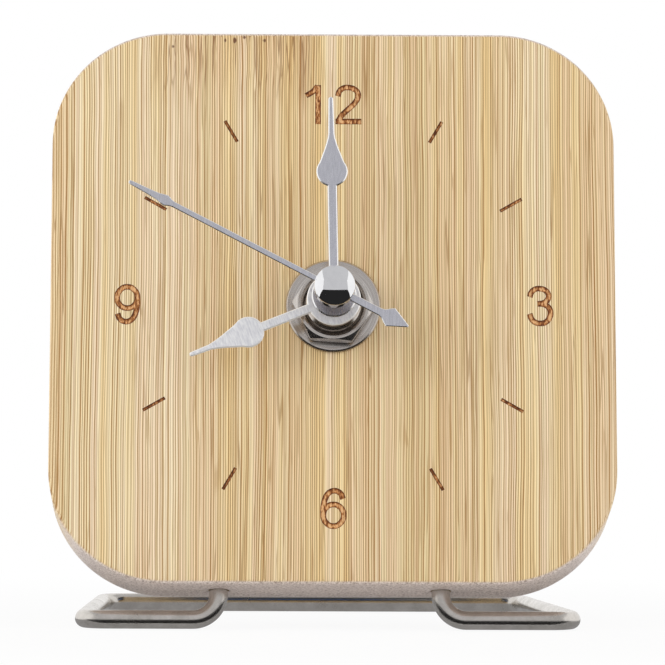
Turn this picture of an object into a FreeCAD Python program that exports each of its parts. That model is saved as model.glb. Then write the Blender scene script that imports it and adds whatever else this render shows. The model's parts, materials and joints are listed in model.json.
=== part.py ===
"""Bamboo desk clock on a bent wire stand, with its quartz movement.

The clock head (bamboo face, movement and hands) is drawn upright in its own frame and then leaned back.
Head frame: origin on the shaft axis at the front of the bamboo, +X right, +Y backwards, +Z up the face.
Row frame: origin under the middle of the whole clock, +Z up, front towards -Y. Millimetres and degrees.
"""
import FreeCAD, Part
import Sketcher
import math
import os
from types import SimpleNamespace

App = FreeCAD
Vector = App.Vector

SIZES = {
    # Bamboo face: a square board with large round corners, its shaft hole and its hour marks.
    "face_width": 100.0,
    "face_height": 100.0,
    "face_thickness": 14.0,
    "corner_radius": 20.5,
    "face_edge_round": 0.8,
    "shaft_height": 49.4,
    "shaft_hole_gap": 0.2,
    "dial_rise": 0.8,
    "mark_inner": 34.15,
    "mark_outer": 38.7,
    "mark_width": 0.5,
    "mark_depth": 0.25,
    # Wire stand: one steel rod, bent by hand and a little out of square. Reaches are to the wire's outside.
    "wire_diameter": 3.3,
    "leg_drop": 5.2,
    "leg_left": 20.0,
    "leg_right": 19.1,
    "leg_depth": 15.0,
    "leg_gap": 0.05,
    "leg_hole_spare": 0.5,
    "leg_bend": 4.5,
    "corner_bend": 4.2,
    "front_left": 45.5,
    "front_right": 44.4,
    "back_left": 43.5,
    "back_right": 37.7,
    "stand_depth": 60.0,
    # Washer, nut and threaded bushing that clamp the movement to the board.
    "washer_diameter": 16.8,
    "washer_thickness": 0.8,
    "washer_hole_gap": 0.4,
    "washer_rise": 0.35,
    "nut_width": 12.7,
    "nut_thickness": 2.9,
    "nut_chamfer": 0.7,
    "nut_thread_gap": 0.02,
    "nut_countersink": 0.5,
    "bushing_diameter": 9.8,
    "bushing_reach": 4.6,
    "bushing_tip_chamfer": 0.5,
    "thread_pitch": 0.75,
    "thread_depth": 0.3,
    "flange_diameter": 13.2,
    "flange_thickness": 0.6,
    "gasket_diameter": 24.0,
    "gasket_thickness": 1.0,
    # Coaxial arbors: hour pipe outside, minute tube in it, seconds arbor in the middle.
    "hour_pipe_diameter": 5.0,
    "minute_tube_diameter": 3.0,
    "seconds_arbor_diameter": 1.0,
    "running_gap": 0.05,
    "pipe_gap": 0.1,
    "seat_gap": 0.01,
    # Hands: how far the front of each stands off the bamboo, and its sheet thickness.
    "hour_level": 7.5,
    "minute_level": 10.4,
    "seconds_level": 15.5,
    "hand_thickness": 0.4,
    "seconds_thickness": 0.3,
    "hour_boss": 9.8,
    "minute_boss": 8.4,
    "collar_wall": 0.6,
    "collar_length": 1.4,
    "hour_length": 27.2,
    "hour_bar": 1.65,
    "hour_bulb": 5.5,
    "hour_bulb_reach": 16.1,
    "hour_neck": 1.0,
    "hour_neck_reach": 23.4,
    "hour_tip": 0.8,
    "minute_length": 35.6,
    "minute_bar": 1.65,
    "minute_bulb": 5.5,
    "minute_bulb_reach": 22.1,
    "minute_neck": 1.1,
    "minute_neck_reach": 29.0,
    "minute_tip": 0.85,
    "seconds_length": 40.2,
    "seconds_bar": 1.0,
    "seconds_hub": 5.0,
    "lozenge_reach": 33.3,
    "lozenge_width": 2.0,
    "lozenge_half_length": 1.5,
    "seconds_point_width": 1.2,
    "tail_length": 14.8,
    "tail_bar": 1.35,
    "tail_flare_reach": 9.0,
    "arrow_reach": 11.0,
    "arrow_width": 3.6,
    "seconds_sleeve_diameter": 2.0,
    "seconds_sleeve_length": 3.7,
    "dome_radius": 3.6,
    "dome_skirt": 0.2,
    # Movement case and cover: moulded shells. Depths are measured from the front of the case.
    "case_rise": 28.0,
    "case_depth": 15.5,
    "case_corner": 3.0,
    "case_front_wall": 1.0,
    "case_side_wall": 1.2,
    "pocket_corner": 1.5,
    "divider_drop": 10.0,
    "divider_thickness": 1.2,
    "bay_floor": 0.8,
    "cover_thickness": 1.2,
    "cover_step": 0.5,
    "cover_gap": 0.1,
    "post_radius": 1.5,
    "post_inset": 3.2,
    # Plates that carry the wheels.
    "train_plate_depth": 4.4,
    "plate_thickness": 0.8,
    "plate_gap": 0.2,
    "rear_plate_depth": 12.2,
    "rear_plate_top": 15.0,
    "pillar_radius": 1.2,
    "pillar_inset": 2.3,
    "pillar_low": 7.5,
    "pillar_right_rise": 9.0,
    "pillar_left_side": 15.0,
    "pillar_left_rise": 10.0,
    # Wheels: distances between arbors, and the depth at which each wheel starts.
    "third_reach": 10.2,
    "intermediate_reach": 10.4,
    "rotor_reach": 6.0,
    "setting_reach": 12.0,
    "wheel_thickness": 0.6,
    "arbor_diameter": 0.8,
    "setting_arbor_diameter": 2.0,
    "hour_wheel_depth": 1.9,
    "hour_wheel_thickness": 0.8,
    "setting_pinion_depth": 1.8,
    "setting_pinion_length": 1.2,
    "motion_wheel_depth": 3.2,
    "motion_wheel_thickness": 0.8,
    "minute_pinion_depth": 3.1,
    "minute_pinion_length": 1.0,
    "centre_wheel_depth": 5.5,
    "centre_hub_diameter": 4.6,
    "centre_hub_length": 0.9,
    "third_pinion_depth": 5.4,
    "third_pinion_length": 1.1,
    "third_wheel_depth": 6.9,
    "seconds_pinion_depth": 6.7,
    "seconds_pinion_length": 1.0,
    "seconds_wheel_depth": 8.0,
    "intermediate_pinion_depth": 7.8,
    "intermediate_pinion_length": 0.9,
    "intermediate_wheel_depth": 9.0,
    "rotor_pinion_depth": 8.8,
    "rotor_pinion_length": 0.9,
    "arbor_front_depth": 4.5,
    "arbor_back_depth": 12.9,
    "setting_front_depth": 1.2,
    # Stepping motor: magnet, stator, core, bobbin and winding.
    "magnet_depth": 10.0,
    "magnet_length": 1.6,
    "magnet_diameter": 4.6,
    "stator_depth": 10.4,
    "stator_thickness": 0.8,
    "stator_hole_diameter": 5.5,
    "stator_yoke_margin": 1.0,
    "stator_inset": 1.8,
    "stator_right": 5.0,
    "stator_leg_width": 3.0,
    "coil_rise": 20.0,
    "core_width": 2.4,
    "core_thickness": 0.8,
    "bobbin_gap": 0.5,
    "bobbin_flange_diameter": 5.2,
    "bobbin_flange_thickness": 0.8,
    "bobbin_tube_diameter": 3.8,
    "winding_diameter": 4.9,
    "stator_post_rise": 12.0,
    # Circuit board with its chip and crystal.
    "board_left": 5.0,
    "board_inset": 1.8,
    "board_bottom": 11.0,
    "board_top": 25.0,
    "board_thickness": 0.8,
    "board_corner": 0.8,
    "chip_side": 4.2,
    "chip_thickness": 0.9,
    "chip_corner": 0.6,
    "chip_across": 12.0,
    "chip_rise": 15.0,
    "crystal_diameter": 2.0,
    "crystal_length": 6.0,
    "crystal_across": 16.0,
    "crystal_rise": 21.0,
    # AA cell and its contact leaves.
    "cell_diameter": 14.5,
    "cell_length": 49.5,
    "cell_nub_diameter": 5.5,
    "cell_nub_length": 1.0,
    "cell_edge": 0.6,
    "cell_floor_gap": 0.15,
    "cell_side_gap": 0.55,
    "cell_end_room": 1.55,
    "leaf_thickness": 0.4,
    "leaf_depth": 6.0,
    "leaf_width": 5.0,
    "leaf_half_height": 4.5,
    "leaf_tab_top": 6.0,
    "leaf_slot_gap": 0.1,
    "leaf_cell_gap": 0.02,
    # Setting knob at the back.
    "knob_gap": 0.4,
    "knob_diameter": 10.0,
    "knob_length": 3.2,
    "knob_seat_depth": 2.2,
    "knob_groove": 0.8,
    # What every cut runs past the faces it goes through.
    "cut_overrun": 1.0,
}
ANGLES = {
    "lean_angle": 13.0,
    "nut_turn": 6.0,
    "hour_turn": 248.0,
    "minute_turn": -1.0,
    "seconds_turn": 297.4,
    "third_direction": 0.0,
    "intermediate_direction": 200.0,
    "rotor_direction": 125.0,
    "setting_direction": 90.0,
    "bulb_turn": 27.0,
}
TEETH = {
    "seconds_pinion": 8,
    "third_wheel": 60,
    "third_pinion": 8,
    "centre_wheel": 64,
    "minute_pinion": 12,
    "motion_wheel": 36,
    "setting_pinion": 10,
    "hour_wheel": 40,
    "seconds_wheel": 60,
    "intermediate_pinion": 10,
    "intermediate_wheel": 40,
    "rotor_pinion": 8,
}
KNOB_GROOVES = 24
THREAD_RIDGES = 7
MARKED_HOURS = (1, 2, 4, 5, 7, 8, 10, 11)

# Shares of a tooth's module and pitch.
ADDENDUM_SHARE = 0.8
DEDENDUM_SHARE = 1.15
TOOTH_ROOT_SHARE = 0.44
TOOTH_TIP_SHARE = 0.18
TOOTH_SINK_SHARE = 0.5
# Shares of a spade hand: where the straight flank ends, and how the neck curves in.
FLANK_REACH_SHARE = 0.56
FLANK_WIDTH_SHARE = 0.44
NECK_CURVE_REACH_SHARE = 0.5
NECK_CURVE_WIDTH_SHARE = 0.27
# Share of a thread's pitch that one flank of its groove takes.
THREAD_FLANK_SHARE = 0.45
# Where the curve of the tail's flare passes, as shares of its length and width.
FLARE_CURVE_REACH_SHARE = 0.45
FLARE_CURVE_WIDTH_SHARE = 0.35

doc = App.newDocument("desk_clock")
sheet = doc.addObject("Spreadsheet::Sheet", "Dims")
for row, (name, number) in enumerate({**SIZES, **ANGLES}.items(), start=1):
    sheet.set(f"A{row}", name)
    sheet.set(f"B{row}", str(number))
    sheet.setAlias(f"B{row}", name)
doc.recompute()


class Size:
    """A length as a number and as the sheet expression that gives it."""

    def __init__(self, number, text):
        self.number = number
        self.text = text

    def __add__(self, other):
        return Size(self.number + other.number, f"({self.text} + {other.text})")

    def __sub__(self, other):
        return Size(self.number - other.number, f"({self.text} - {other.text})")

    def __neg__(self):
        return Size(-self.number, f"(0 - {self.text})")

    def __mul__(self, factor):
        return Size(self.number * factor, f"({self.text} * {factor})")

    def __truediv__(self, factor):
        return Size(self.number / factor, f"({self.text} / {factor})")


ZERO = Size(0.0, "0")
size = SimpleNamespace(**{name: Size(number, f"Dims.{name}") for name, number in SIZES.items()})
nodes = []


def across(length, degrees):
    """The sine part of a length that is turned by an angle."""
    return length * math.sin(math.radians(degrees))


def along(length, degrees):
    """The cosine part of a length that is turned by an angle."""
    return length * math.cos(math.radians(degrees))


def other_leg(longest, leg):
    """The second leg of a right triangle."""
    number = math.sqrt(longest.number ** 2 - leg.number ** 2)
    return Size(number, f"sqrt({longest.text}^2 - {leg.text}^2)")


# Where the head stands. The board's lower edge is carried by the legs, leg_drop above the front run.
LEAN = ANGLES["lean_angle"]
wire_radius = size.wire_diameter / 2
half_board = size.face_thickness / 2
dome_centre = size.seconds_level + size.dome_skirt
front_reach = (along(half_board + dome_centre, LEAN) - across(size.shaft_height, LEAN)
               + size.dome_radius)
back_reach = size.stand_depth - across(size.leg_drop, LEAN) + wire_radius
edge_y = (front_reach - back_reach) / 2
edge_z = wire_radius + along(size.leg_drop, LEAN)
head_y = edge_y + across(size.shaft_height, LEAN) - along(half_board, LEAN)
head_z = edge_z + along(size.shaft_height, LEAN) + across(half_board, LEAN)
HEAD = App.Placement(Vector(0, head_y.number, head_z.number), App.Rotation(Vector(1, 0, 0), -LEAN))
ALONG_X = App.Rotation(Vector(0, 0, 1), -90)


def at(x=ZERO, y=ZERO, z=ZERO, turn=App.Rotation()):
    """A place in the head frame, as a placement in the row frame."""
    return HEAD.multiply(App.Placement(Vector(x.number, y.number, z.number), turn))


def clockwise(degrees):
    """A turn about the shaft, clockwise for someone who reads the clock."""
    return App.Rotation(Vector(0, 1, 0), degrees)


def new_body(label, place):
    body = doc.addObject("PartDesign::Body", label)
    body.Label = label
    body.Placement = place
    nodes.append(body)
    return body


def origin_feature(body, role):
    return next(item for item in body.Origin.OriginFeatures if item.Role == role)


def new_sketch(body, role, level=ZERO, turn=0.0):
    """A sketch on one of the body's own planes, moved along its normal and turned in its plane."""
    sketch = body.newObject("Sketcher::SketchObject", f"{body.Name}_sketch")
    sketch.AttachmentSupport = [(origin_feature(body, role), "")]
    sketch.MapMode = "FlatFace"
    sketch.AttachmentOffset = App.Placement(Vector(0, 0, level.number), App.Rotation(Vector(0, 0, 1), turn))
    sketch.setExpression("AttachmentOffset.Base.z", level.text)
    return sketch


def face_sketch(body, depth=ZERO, turn=0.0):
    """A sketch seen from the front of the clock, at a depth behind the body's own origin."""
    return new_sketch(body, "XZ_Plane", -depth, turn)


def bind_points(sketch, points):
    """Fixes sketch points, each (geometry, end, x, y), at sizes from the sheet."""
    first = sketch.ConstraintCount
    rules = []
    for geometry, end, x, y in points:
        rules.append(Sketcher.Constraint("DistanceX", -1, 1, geometry, end, x.number))
        rules.append(Sketcher.Constraint("DistanceY", -1, 1, geometry, end, y.number))
    sketch.addConstraint(rules)
    for index, (geometry, end, x, y) in enumerate(points):
        sketch.setExpression(f"Constraints[{first + 2 * index}]", x.text)
        sketch.setExpression(f"Constraints[{first + 2 * index + 1}]", y.text)


def draw(sketch, start, *steps):
    """Draws a closed outline. A step is (x, y) for a line, or (via x, via y, x, y) for an arc."""
    corner = start
    points = []
    joints = []
    vias = []
    for step in steps:
        end = step[-2:]
        here = Vector(corner[0].number, corner[1].number, 0)
        there = Vector(end[0].number, end[1].number, 0)
        if len(step) == 2:
            index = sketch.addGeometry(Part.LineSegment(here, there), False)
            first_end = 1
        else:
            via = Vector(step[0].number, step[1].number, 0)
            index = sketch.addGeometry(Part.Arc(here, via, there), False)
            first_end = 1 if sketch.getPoint(index, 1).distanceToPoint(here) < here.distanceToPoint(there) / 2 else 2
            mark = sketch.addGeometry(Part.Point(via), True)
            points.append((mark, 1, step[0], step[1]))
            vias.append(Sketcher.Constraint("PointOnObject", mark, 1, index))
        points.append((index, first_end, corner[0], corner[1]))
        joints.append((index, first_end))
        corner = end
    for (index, first_end), (following, following_end) in zip(joints, joints[1:] + joints[:1]):
        vias.append(Sketcher.Constraint("Coincident", index, 3 - first_end, following, following_end))
    sketch.addConstraint(vias)
    bind_points(sketch, points)


def polygon(sketch, corners):
    draw(sketch, corners[0], *corners[1:], corners[0])


def rectangle(sketch, left, right, bottom, top):
    polygon(sketch, [(left, bottom), (right, bottom), (right, top), (left, top)])


def rounded_rectangle(sketch, left, right, bottom, top, radius):
    """A rectangle whose corners are quarter circles."""
    cut = radius * (1 - math.sqrt(0.5))
    draw(sketch, (left + radius, bottom),
         (right - radius, bottom), (right - cut, bottom + cut, right, bottom + radius),
         (right, top - radius), (right - cut, top - cut, right - radius, top),
         (left + radius, top), (left + cut, top - cut, left, top - radius),
         (left, bottom + radius), (left + cut, bottom + cut, left + radius, bottom))


def circle(sketch, x, y, diameter):
    index = sketch.addGeometry(Part.Circle(Vector(x.number, y.number, 0), Vector(0, 0, 1), diameter.number / 2), False)
    bind_points(sketch, [(index, 3, x, y)])
    rule = sketch.addConstraint(Sketcher.Constraint("Diameter", index, diameter.number))
    sketch.setExpression(f"Constraints[{rule}]", diameter.text)


def pad(body, sketch, length):
    """Adds material from the sketch backwards."""
    feature = body.newObject("PartDesign::Pad", f"{body.Name}_pad")
    feature.Profile = sketch
    feature.Reversed = True
    feature.setExpression("Length", length.text)
    return feature


def checked_cut(body, feature):
    """Recomputes a cut and makes sure that it took material away."""
    before = body.Shape.Volume
    body.Tip = feature
    doc.recompute()
    if not body.Shape.Volume < before:
        raise RuntimeError(f"{feature.Name} cuts nothing")
    return feature


def pocket(body, sketch, length, reverse=False):
    """Cuts from the sketch backwards, or along the sketch's normal."""
    doc.recompute()
    feature = body.newObject("PartDesign::Pocket", f"{body.Name}_pocket")
    feature.Profile = sketch
    feature.Reversed = reverse
    feature.setExpression("Length", length.text)
    return checked_cut(body, feature)


def revolve(body, corners, groove=False):
    """Turns a profile of (radius, depth) corners about the body's Y axis."""
    sketch = new_sketch(body, "XY_Plane")
    polygon(sketch, corners)
    return revolve_sketch(body, sketch, groove)


def revolve_sketch(body, sketch, groove=False):
    if groove:
        doc.recompute()
    kind = "Groove" if groove else "Revolution"
    feature = body.newObject(f"PartDesign::{kind}", f"{body.Name}_{kind.lower()}")
    feature.Profile = sketch
    feature.ReferenceAxis = (sketch, ["V_Axis"])
    feature.Angle = 360
    return checked_cut(body, feature) if groove else feature


def polar(body, feature, count):
    """Repeats a feature about the body's Y axis."""
    pattern = body.newObject("PartDesign::PolarPattern", f"{body.Name}_polar")
    pattern.Originals = [feature]
    pattern.Axis = (origin_feature(body, "Y_Axis"), [""])
    pattern.Angle = 360
    pattern.Occurrences = count
    body.Tip = pattern
    return pattern


def ring(body, outer, inner, start, length):
    """A plain ring or tube, given by its two diameters."""
    revolve(body, [(inner / 2, start), (outer / 2, start), (outer / 2, start + length), (inner / 2, start + length)])


def module_of(distance, first, second):
    """The module of two wheels that mesh at a distance between their arbors."""
    return distance * 2 / (TEETH[first] + TEETH[second])


def root_radius(module, wheel):
    return module * (TEETH[wheel] / 2 - DEDENDUM_SHARE)


def cut_teeth(body, wheel, module, start, length, phase):
    """Stands teeth on a turned blank, with one tooth at the phase angle."""
    pitch = math.pi
    root = root_radius(module, wheel)
    foot = root - module * TOOTH_SINK_SHARE
    tip = module * (TEETH[wheel] / 2 + ADDENDUM_SHARE)
    root_half = module * (pitch * TOOTH_ROOT_SHARE / 2)
    tip_half = module * (pitch * TOOTH_TIP_SHARE / 2)
    sketch = face_sketch(body, start, phase)
    polygon(sketch, [(foot, -root_half), (root, -root_half), (tip, -tip_half),
                     (tip, tip_half), (root, root_half), (foot, root_half)])
    polar(body, pad(body, sketch, length), TEETH[wheel])


def mesh_phase(direction, driver, driver_phase, follower):
    """The phase at which a follower's gap meets the driver's tooth, seen from the driver."""
    lead = (direction - driver_phase) * TEETH[driver] / 360
    return direction + 180 - (0.5 - lead % 1) * 360 / TEETH[follower]


# Places inside the movement, in the head frame.
case_front = size.face_thickness + size.gasket_thickness
cell_half_length = (size.cell_length + size.cell_nub_length) / 2
works_half_width = cell_half_length + size.cell_end_room
works_top = size.case_rise - size.case_side_wall
bay_top = -(size.divider_drop + size.divider_thickness)
bay_bottom = bay_top - size.cell_diameter - size.cell_side_gap * 2
cell_rise = (bay_top + bay_bottom) / 2
pillar_side = works_half_width - size.pillar_inset
stator_left = works_half_width - size.stator_inset
bobbin_length = stator_left - size.stator_right - (size.stator_leg_width + size.bobbin_gap) * 2
board_front = size.train_plate_depth + size.plate_thickness
intermediate_x = along(size.intermediate_reach, ANGLES["intermediate_direction"])
intermediate_z = across(size.intermediate_reach, ANGLES["intermediate_direction"])
rotor_x = intermediate_x + along(size.rotor_reach, ANGLES["rotor_direction"])
rotor_z = intermediate_z + across(size.rotor_reach, ANGLES["rotor_direction"])
third_x = along(size.third_reach, ANGLES["third_direction"])
third_z = across(size.third_reach, ANGLES["third_direction"])
setting_x = along(size.setting_reach, ANGLES["setting_direction"])
setting_z = across(size.setting_reach, ANGLES["setting_direction"])
pivot_hole = size.arbor_diameter + size.running_gap * 2
setting_hole = size.setting_arbor_diameter + size.running_gap * 2
hour_bore = size.minute_tube_diameter + size.running_gap * 2
minute_bore = size.seconds_arbor_diameter + size.running_gap * 2
bushing_bore = size.hour_pipe_diameter + size.pipe_gap * 2

PHASE_THIRD = mesh_phase(ANGLES["third_direction"], "seconds_pinion", 0, "third_wheel")
PHASE_CENTRE = mesh_phase(ANGLES["third_direction"] + 180, "third_pinion", 0, "centre_wheel")
PHASE_INTERMEDIATE = mesh_phase(ANGLES["intermediate_direction"], "seconds_wheel", 0, "intermediate_pinion")
PHASE_ROTOR = mesh_phase(ANGLES["rotor_direction"], "intermediate_wheel", 0, "rotor_pinion")
PHASE_MOTION = mesh_phase(ANGLES["setting_direction"], "minute_pinion", 0, "motion_wheel")
PHASE_HOUR = mesh_phase(ANGLES["setting_direction"] + 180, "setting_pinion", 0, "hour_wheel")


def movement(x=ZERO, z=ZERO, turn=App.Rotation()):
    """A place in the movement, with depths counted from the front of its case."""
    return at(x, case_front, z, turn)


def make_bamboo_face():
    """Solid board with eased edges, the shaft hole, two blind leg holes and eight scorched hour marks."""
    body = new_body("bamboo_face", at())
    half = size.face_width / 2
    board = face_sketch(body)
    rounded_rectangle(board, -half, half, -size.shaft_height, size.face_height - size.shaft_height,
                      size.corner_radius)
    block = pad(body, board, size.face_thickness)
    doc.recompute()
    flat = [f"Edge{number}" for number, edge in enumerate(block.Shape.Edges, start=1)
            if abs(edge.Vertexes[0].Point.y - edge.Vertexes[-1].Point.y) < half_board.number]
    easing = body.newObject("PartDesign::Fillet", "face_easing")
    easing.Base = (block, flat)
    easing.setExpression("Radius", size.face_edge_round.text)
    doc.recompute()
    hole = face_sketch(body)
    circle(hole, ZERO, ZERO, size.bushing_diameter + size.shaft_hole_gap * 2)
    pocket(body, hole, size.face_thickness + size.cut_overrun)
    legs = new_sketch(body, "XY_Plane", -size.shaft_height)
    for side in (-size.leg_left, size.leg_right):
        circle(legs, side, half_board, size.wire_diameter + size.leg_gap * 2)
    pocket(body, legs, size.leg_depth + size.leg_hole_spare, reverse=True)
    marks = face_sketch(body)
    for hour in MARKED_HOURS:
        hour_mark(marks, hour * 30)
    pocket(body, marks, size.mark_depth)


def hour_mark(sketch, degrees):
    """A straight stroke that points to the dial's centre."""
    half = size.mark_width / 2
    corners = []
    for reach, side in ((size.mark_inner, -half), (size.mark_outer, -half),
                        (size.mark_outer, half), (size.mark_inner, half)):
        corners.append((across(reach, degrees) + along(side, degrees),
                        size.dial_rise + along(reach, degrees) - across(side, degrees)))
    polygon(sketch, corners)


def make_wire_stand():
    """One rod: left leg, front run, side, back run, side, front run, right leg."""
    front = edge_y - across(size.leg_drop, LEAN)
    back = front + size.stand_depth
    leg_top_y = edge_y + across(size.leg_depth, LEAN)
    leg_top_z = edge_z + along(size.leg_depth, LEAN)
    corners = [(-size.leg_left, leg_top_y, leg_top_z), (-size.leg_left, front, wire_radius),
               (wire_radius - size.front_left, front, wire_radius),
               (wire_radius - size.back_left, back, wire_radius),
               (size.back_right - wire_radius, back, wire_radius),
               (size.front_right - wire_radius, front, wire_radius),
               (size.leg_right, front, wire_radius), (size.leg_right, leg_top_y, leg_top_z)]
    points = [Vector(x.number, y.number, z.number) for x, y, z in corners]
    bends = [size.leg_bend, size.corner_bend, size.corner_bend, size.corner_bend, size.corner_bend, size.leg_bend]
    edges = []
    start = points[0]
    for before, corner, after, bend in zip(points, points[1:], points[2:], bends):
        into = (corner - before).normalize()
        out = (after - corner).normalize()
        half_turn = into.getAngle(out) / 2
        reach = bend.number * math.tan(half_turn)
        bulge = bend.number * (1 / math.cos(half_turn) - 1)
        entry = corner - into * reach
        leave = corner + out * reach
        middle = corner + (out - into).normalize() * bulge
        edges.append(Part.LineSegment(start, entry).toShape())
        edges.append(Part.Arc(entry, middle, leave).toShape())
        start = leave
    edges.append(Part.LineSegment(start, points[-1]).toShape())
    path = Part.Wire(edges)
    section = Part.Wire(Part.makeCircle(wire_radius.number, points[0], points[1] - points[0]))
    rod = path.makePipeShell([section], True, False)
    area = math.pi * wire_radius.number ** 2
    print(f"wire stand: path {path.Length:.2f}, volume over section times length "
          f"{rod.Volume / (area * path.Length):.4f}")
    stand = doc.addObject("Part::Feature", "wire_stand")
    stand.Label = "wire_stand"
    stand.Shape = rod
    stand.Placement = App.Placement()
    nodes.append(stand)


def make_dial_washer():
    """Plain washer, which sits off centre on the bushing by what its hole allows."""
    body = new_body("dial_washer", at(z=size.washer_rise))
    ring(body, size.washer_diameter, size.bushing_diameter + size.washer_hole_gap * 2,
         -size.washer_thickness, size.washer_thickness)


def make_hex_nut():
    """Thin hexagon nut with both rims chamfered and its front bore countersunk."""
    body = new_body("hex_nut", at(turn=clockwise(ANGLES["nut_turn"])))
    start = -(size.washer_thickness + size.nut_thickness)
    corner = size.nut_width / math.sqrt(3)
    blank = face_sketch(body, start)
    polygon(blank, [(along(corner, degrees), across(corner, degrees)) for degrees in range(0, 360, 60)])
    pad(body, blank, size.nut_thickness)
    bore = face_sketch(body, start)
    circle(bore, ZERO, ZERO, size.bushing_diameter + size.nut_thread_gap * 2)
    pocket(body, bore, size.nut_thickness + size.cut_overrun)
    rim = size.nut_width / 2 - size.nut_chamfer / 2
    past = corner + size.cut_overrun
    slope = (past - rim) * (size.nut_chamfer.number / (corner - rim).number)
    for face, inward in ((start, 1), (-size.washer_thickness, -1)):
        revolve(body, [(rim, face), (past, face + slope * inward), (past, face - size.cut_overrun * inward),
                       (rim, face - size.cut_overrun * inward)], groove=True)
    bore_radius = size.bushing_diameter / 2 + size.nut_thread_gap
    sink = size.nut_countersink
    revolve(body, [(bore_radius, start - sink), (bore_radius + sink * 2, start - sink),
                   (bore_radius, start + sink)], groove=True)


def make_threaded_bushing():
    """Threaded tube with a flange that holds it inside the case."""
    body = new_body("threaded_bushing", at())
    tip = -size.bushing_reach
    outer = size.bushing_diameter / 2
    inner = bushing_bore / 2
    flange_front = case_front + size.case_front_wall
    flange_back = flange_front + size.flange_thickness
    revolve(body, [(inner, tip), (outer - size.bushing_tip_chamfer, tip), (outer, tip + size.bushing_tip_chamfer),
                   (outer, flange_front), (size.flange_diameter / 2, flange_front),
                   (size.flange_diameter / 2, flange_back), (inner, flange_back)])
    root = outer - size.thread_depth
    middle = tip + size.bushing_tip_chamfer + size.thread_pitch / 2
    half = size.thread_pitch * THREAD_FLANK_SHARE
    past = outer + size.cut_overrun
    thread = revolve(body, [(root, middle), (outer, middle - half), (past, middle - half),
                            (past, middle + half), (outer, middle + half)], groove=True)
    pattern = body.newObject("PartDesign::LinearPattern", "thread_ridges")
    pattern.Originals = [thread]
    pattern.Direction = (origin_feature(body, "Y_Axis"), [""])
    pattern.setExpression("Length", (size.thread_pitch * (THREAD_RIDGES - 1)).text)
    pattern.Occurrences = THREAD_RIDGES
    body.Tip = pattern


def make_rubber_gasket():
    body = new_body("rubber_gasket", at())
    ring(body, size.gasket_diameter, size.bushing_diameter + size.shaft_hole_gap * 2,
         size.face_thickness, size.gasket_thickness)


def make_movement_case():
    """Front shell with the works chamber above and the battery bay below."""
    body = new_body("movement_case", movement())
    half = works_half_width + size.case_side_wall
    outline = face_sketch(body)
    rounded_rectangle(outline, -half, half, bay_bottom - size.case_side_wall, size.case_rise, size.case_corner)
    pad(body, outline, size.case_depth)
    works = face_sketch(body, size.case_front_wall)
    rounded_rectangle(works, -works_half_width, works_half_width, -size.divider_drop, works_top, size.pocket_corner)
    pocket(body, works, size.case_depth)
    step = face_sketch(body, size.case_depth - size.cover_thickness)
    rim = size.cover_step
    rounded_rectangle(step, -works_half_width - rim, works_half_width + rim, -size.divider_drop - rim,
                      works_top + rim, size.pocket_corner + rim)
    pocket(body, step, size.cover_thickness + size.cut_overrun)
    bay = face_sketch(body, size.bay_floor)
    rounded_rectangle(bay, -works_half_width, works_half_width, bay_bottom, bay_top, size.pocket_corner)
    pocket(body, bay, size.case_depth)
    slots = face_sketch(body, size.leaf_depth - size.leaf_slot_gap)
    slot_inner = works_half_width - size.leaf_thickness - size.leaf_slot_gap
    past = size.pocket_corner
    rectangle(slots, -works_half_width, -slot_inner, bay_top - past, -size.divider_drop + past)
    rectangle(slots, slot_inner, works_half_width, bay_top - past, -size.divider_drop + past)
    pocket(body, slots, size.leaf_width + size.leaf_slot_gap * 2)
    hole = face_sketch(body)
    circle(hole, ZERO, ZERO, size.bushing_diameter + size.running_gap * 2)
    pocket(body, hole, size.case_front_wall + size.cut_overrun)
    posts = face_sketch(body, size.case_front_wall)
    for x in (-half + size.post_inset, half - size.post_inset):
        for z in (size.case_rise - size.post_inset, size.post_radius + size.plate_gap * 2 - size.divider_drop):
            circle(posts, x, z, size.post_radius * 2)
    pad(body, posts, size.train_plate_depth - size.case_front_wall)


def make_movement_cover():
    """Back cover that lies on the step in the case, with the hole for the setting arbor."""
    body = new_body("movement_cover", movement())
    start = size.case_depth - size.cover_thickness
    rim = size.cover_step - size.cover_gap
    outline = face_sketch(body, start)
    rounded_rectangle(outline, -works_half_width - rim, works_half_width + rim, -size.divider_drop - rim,
                      works_top + rim, size.pocket_corner + rim)
    pad(body, outline, size.cover_thickness)
    hole = face_sketch(body, start)
    circle(hole, setting_x, setting_z, setting_hole)
    pocket(body, hole, size.cover_thickness + size.cut_overrun)


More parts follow.
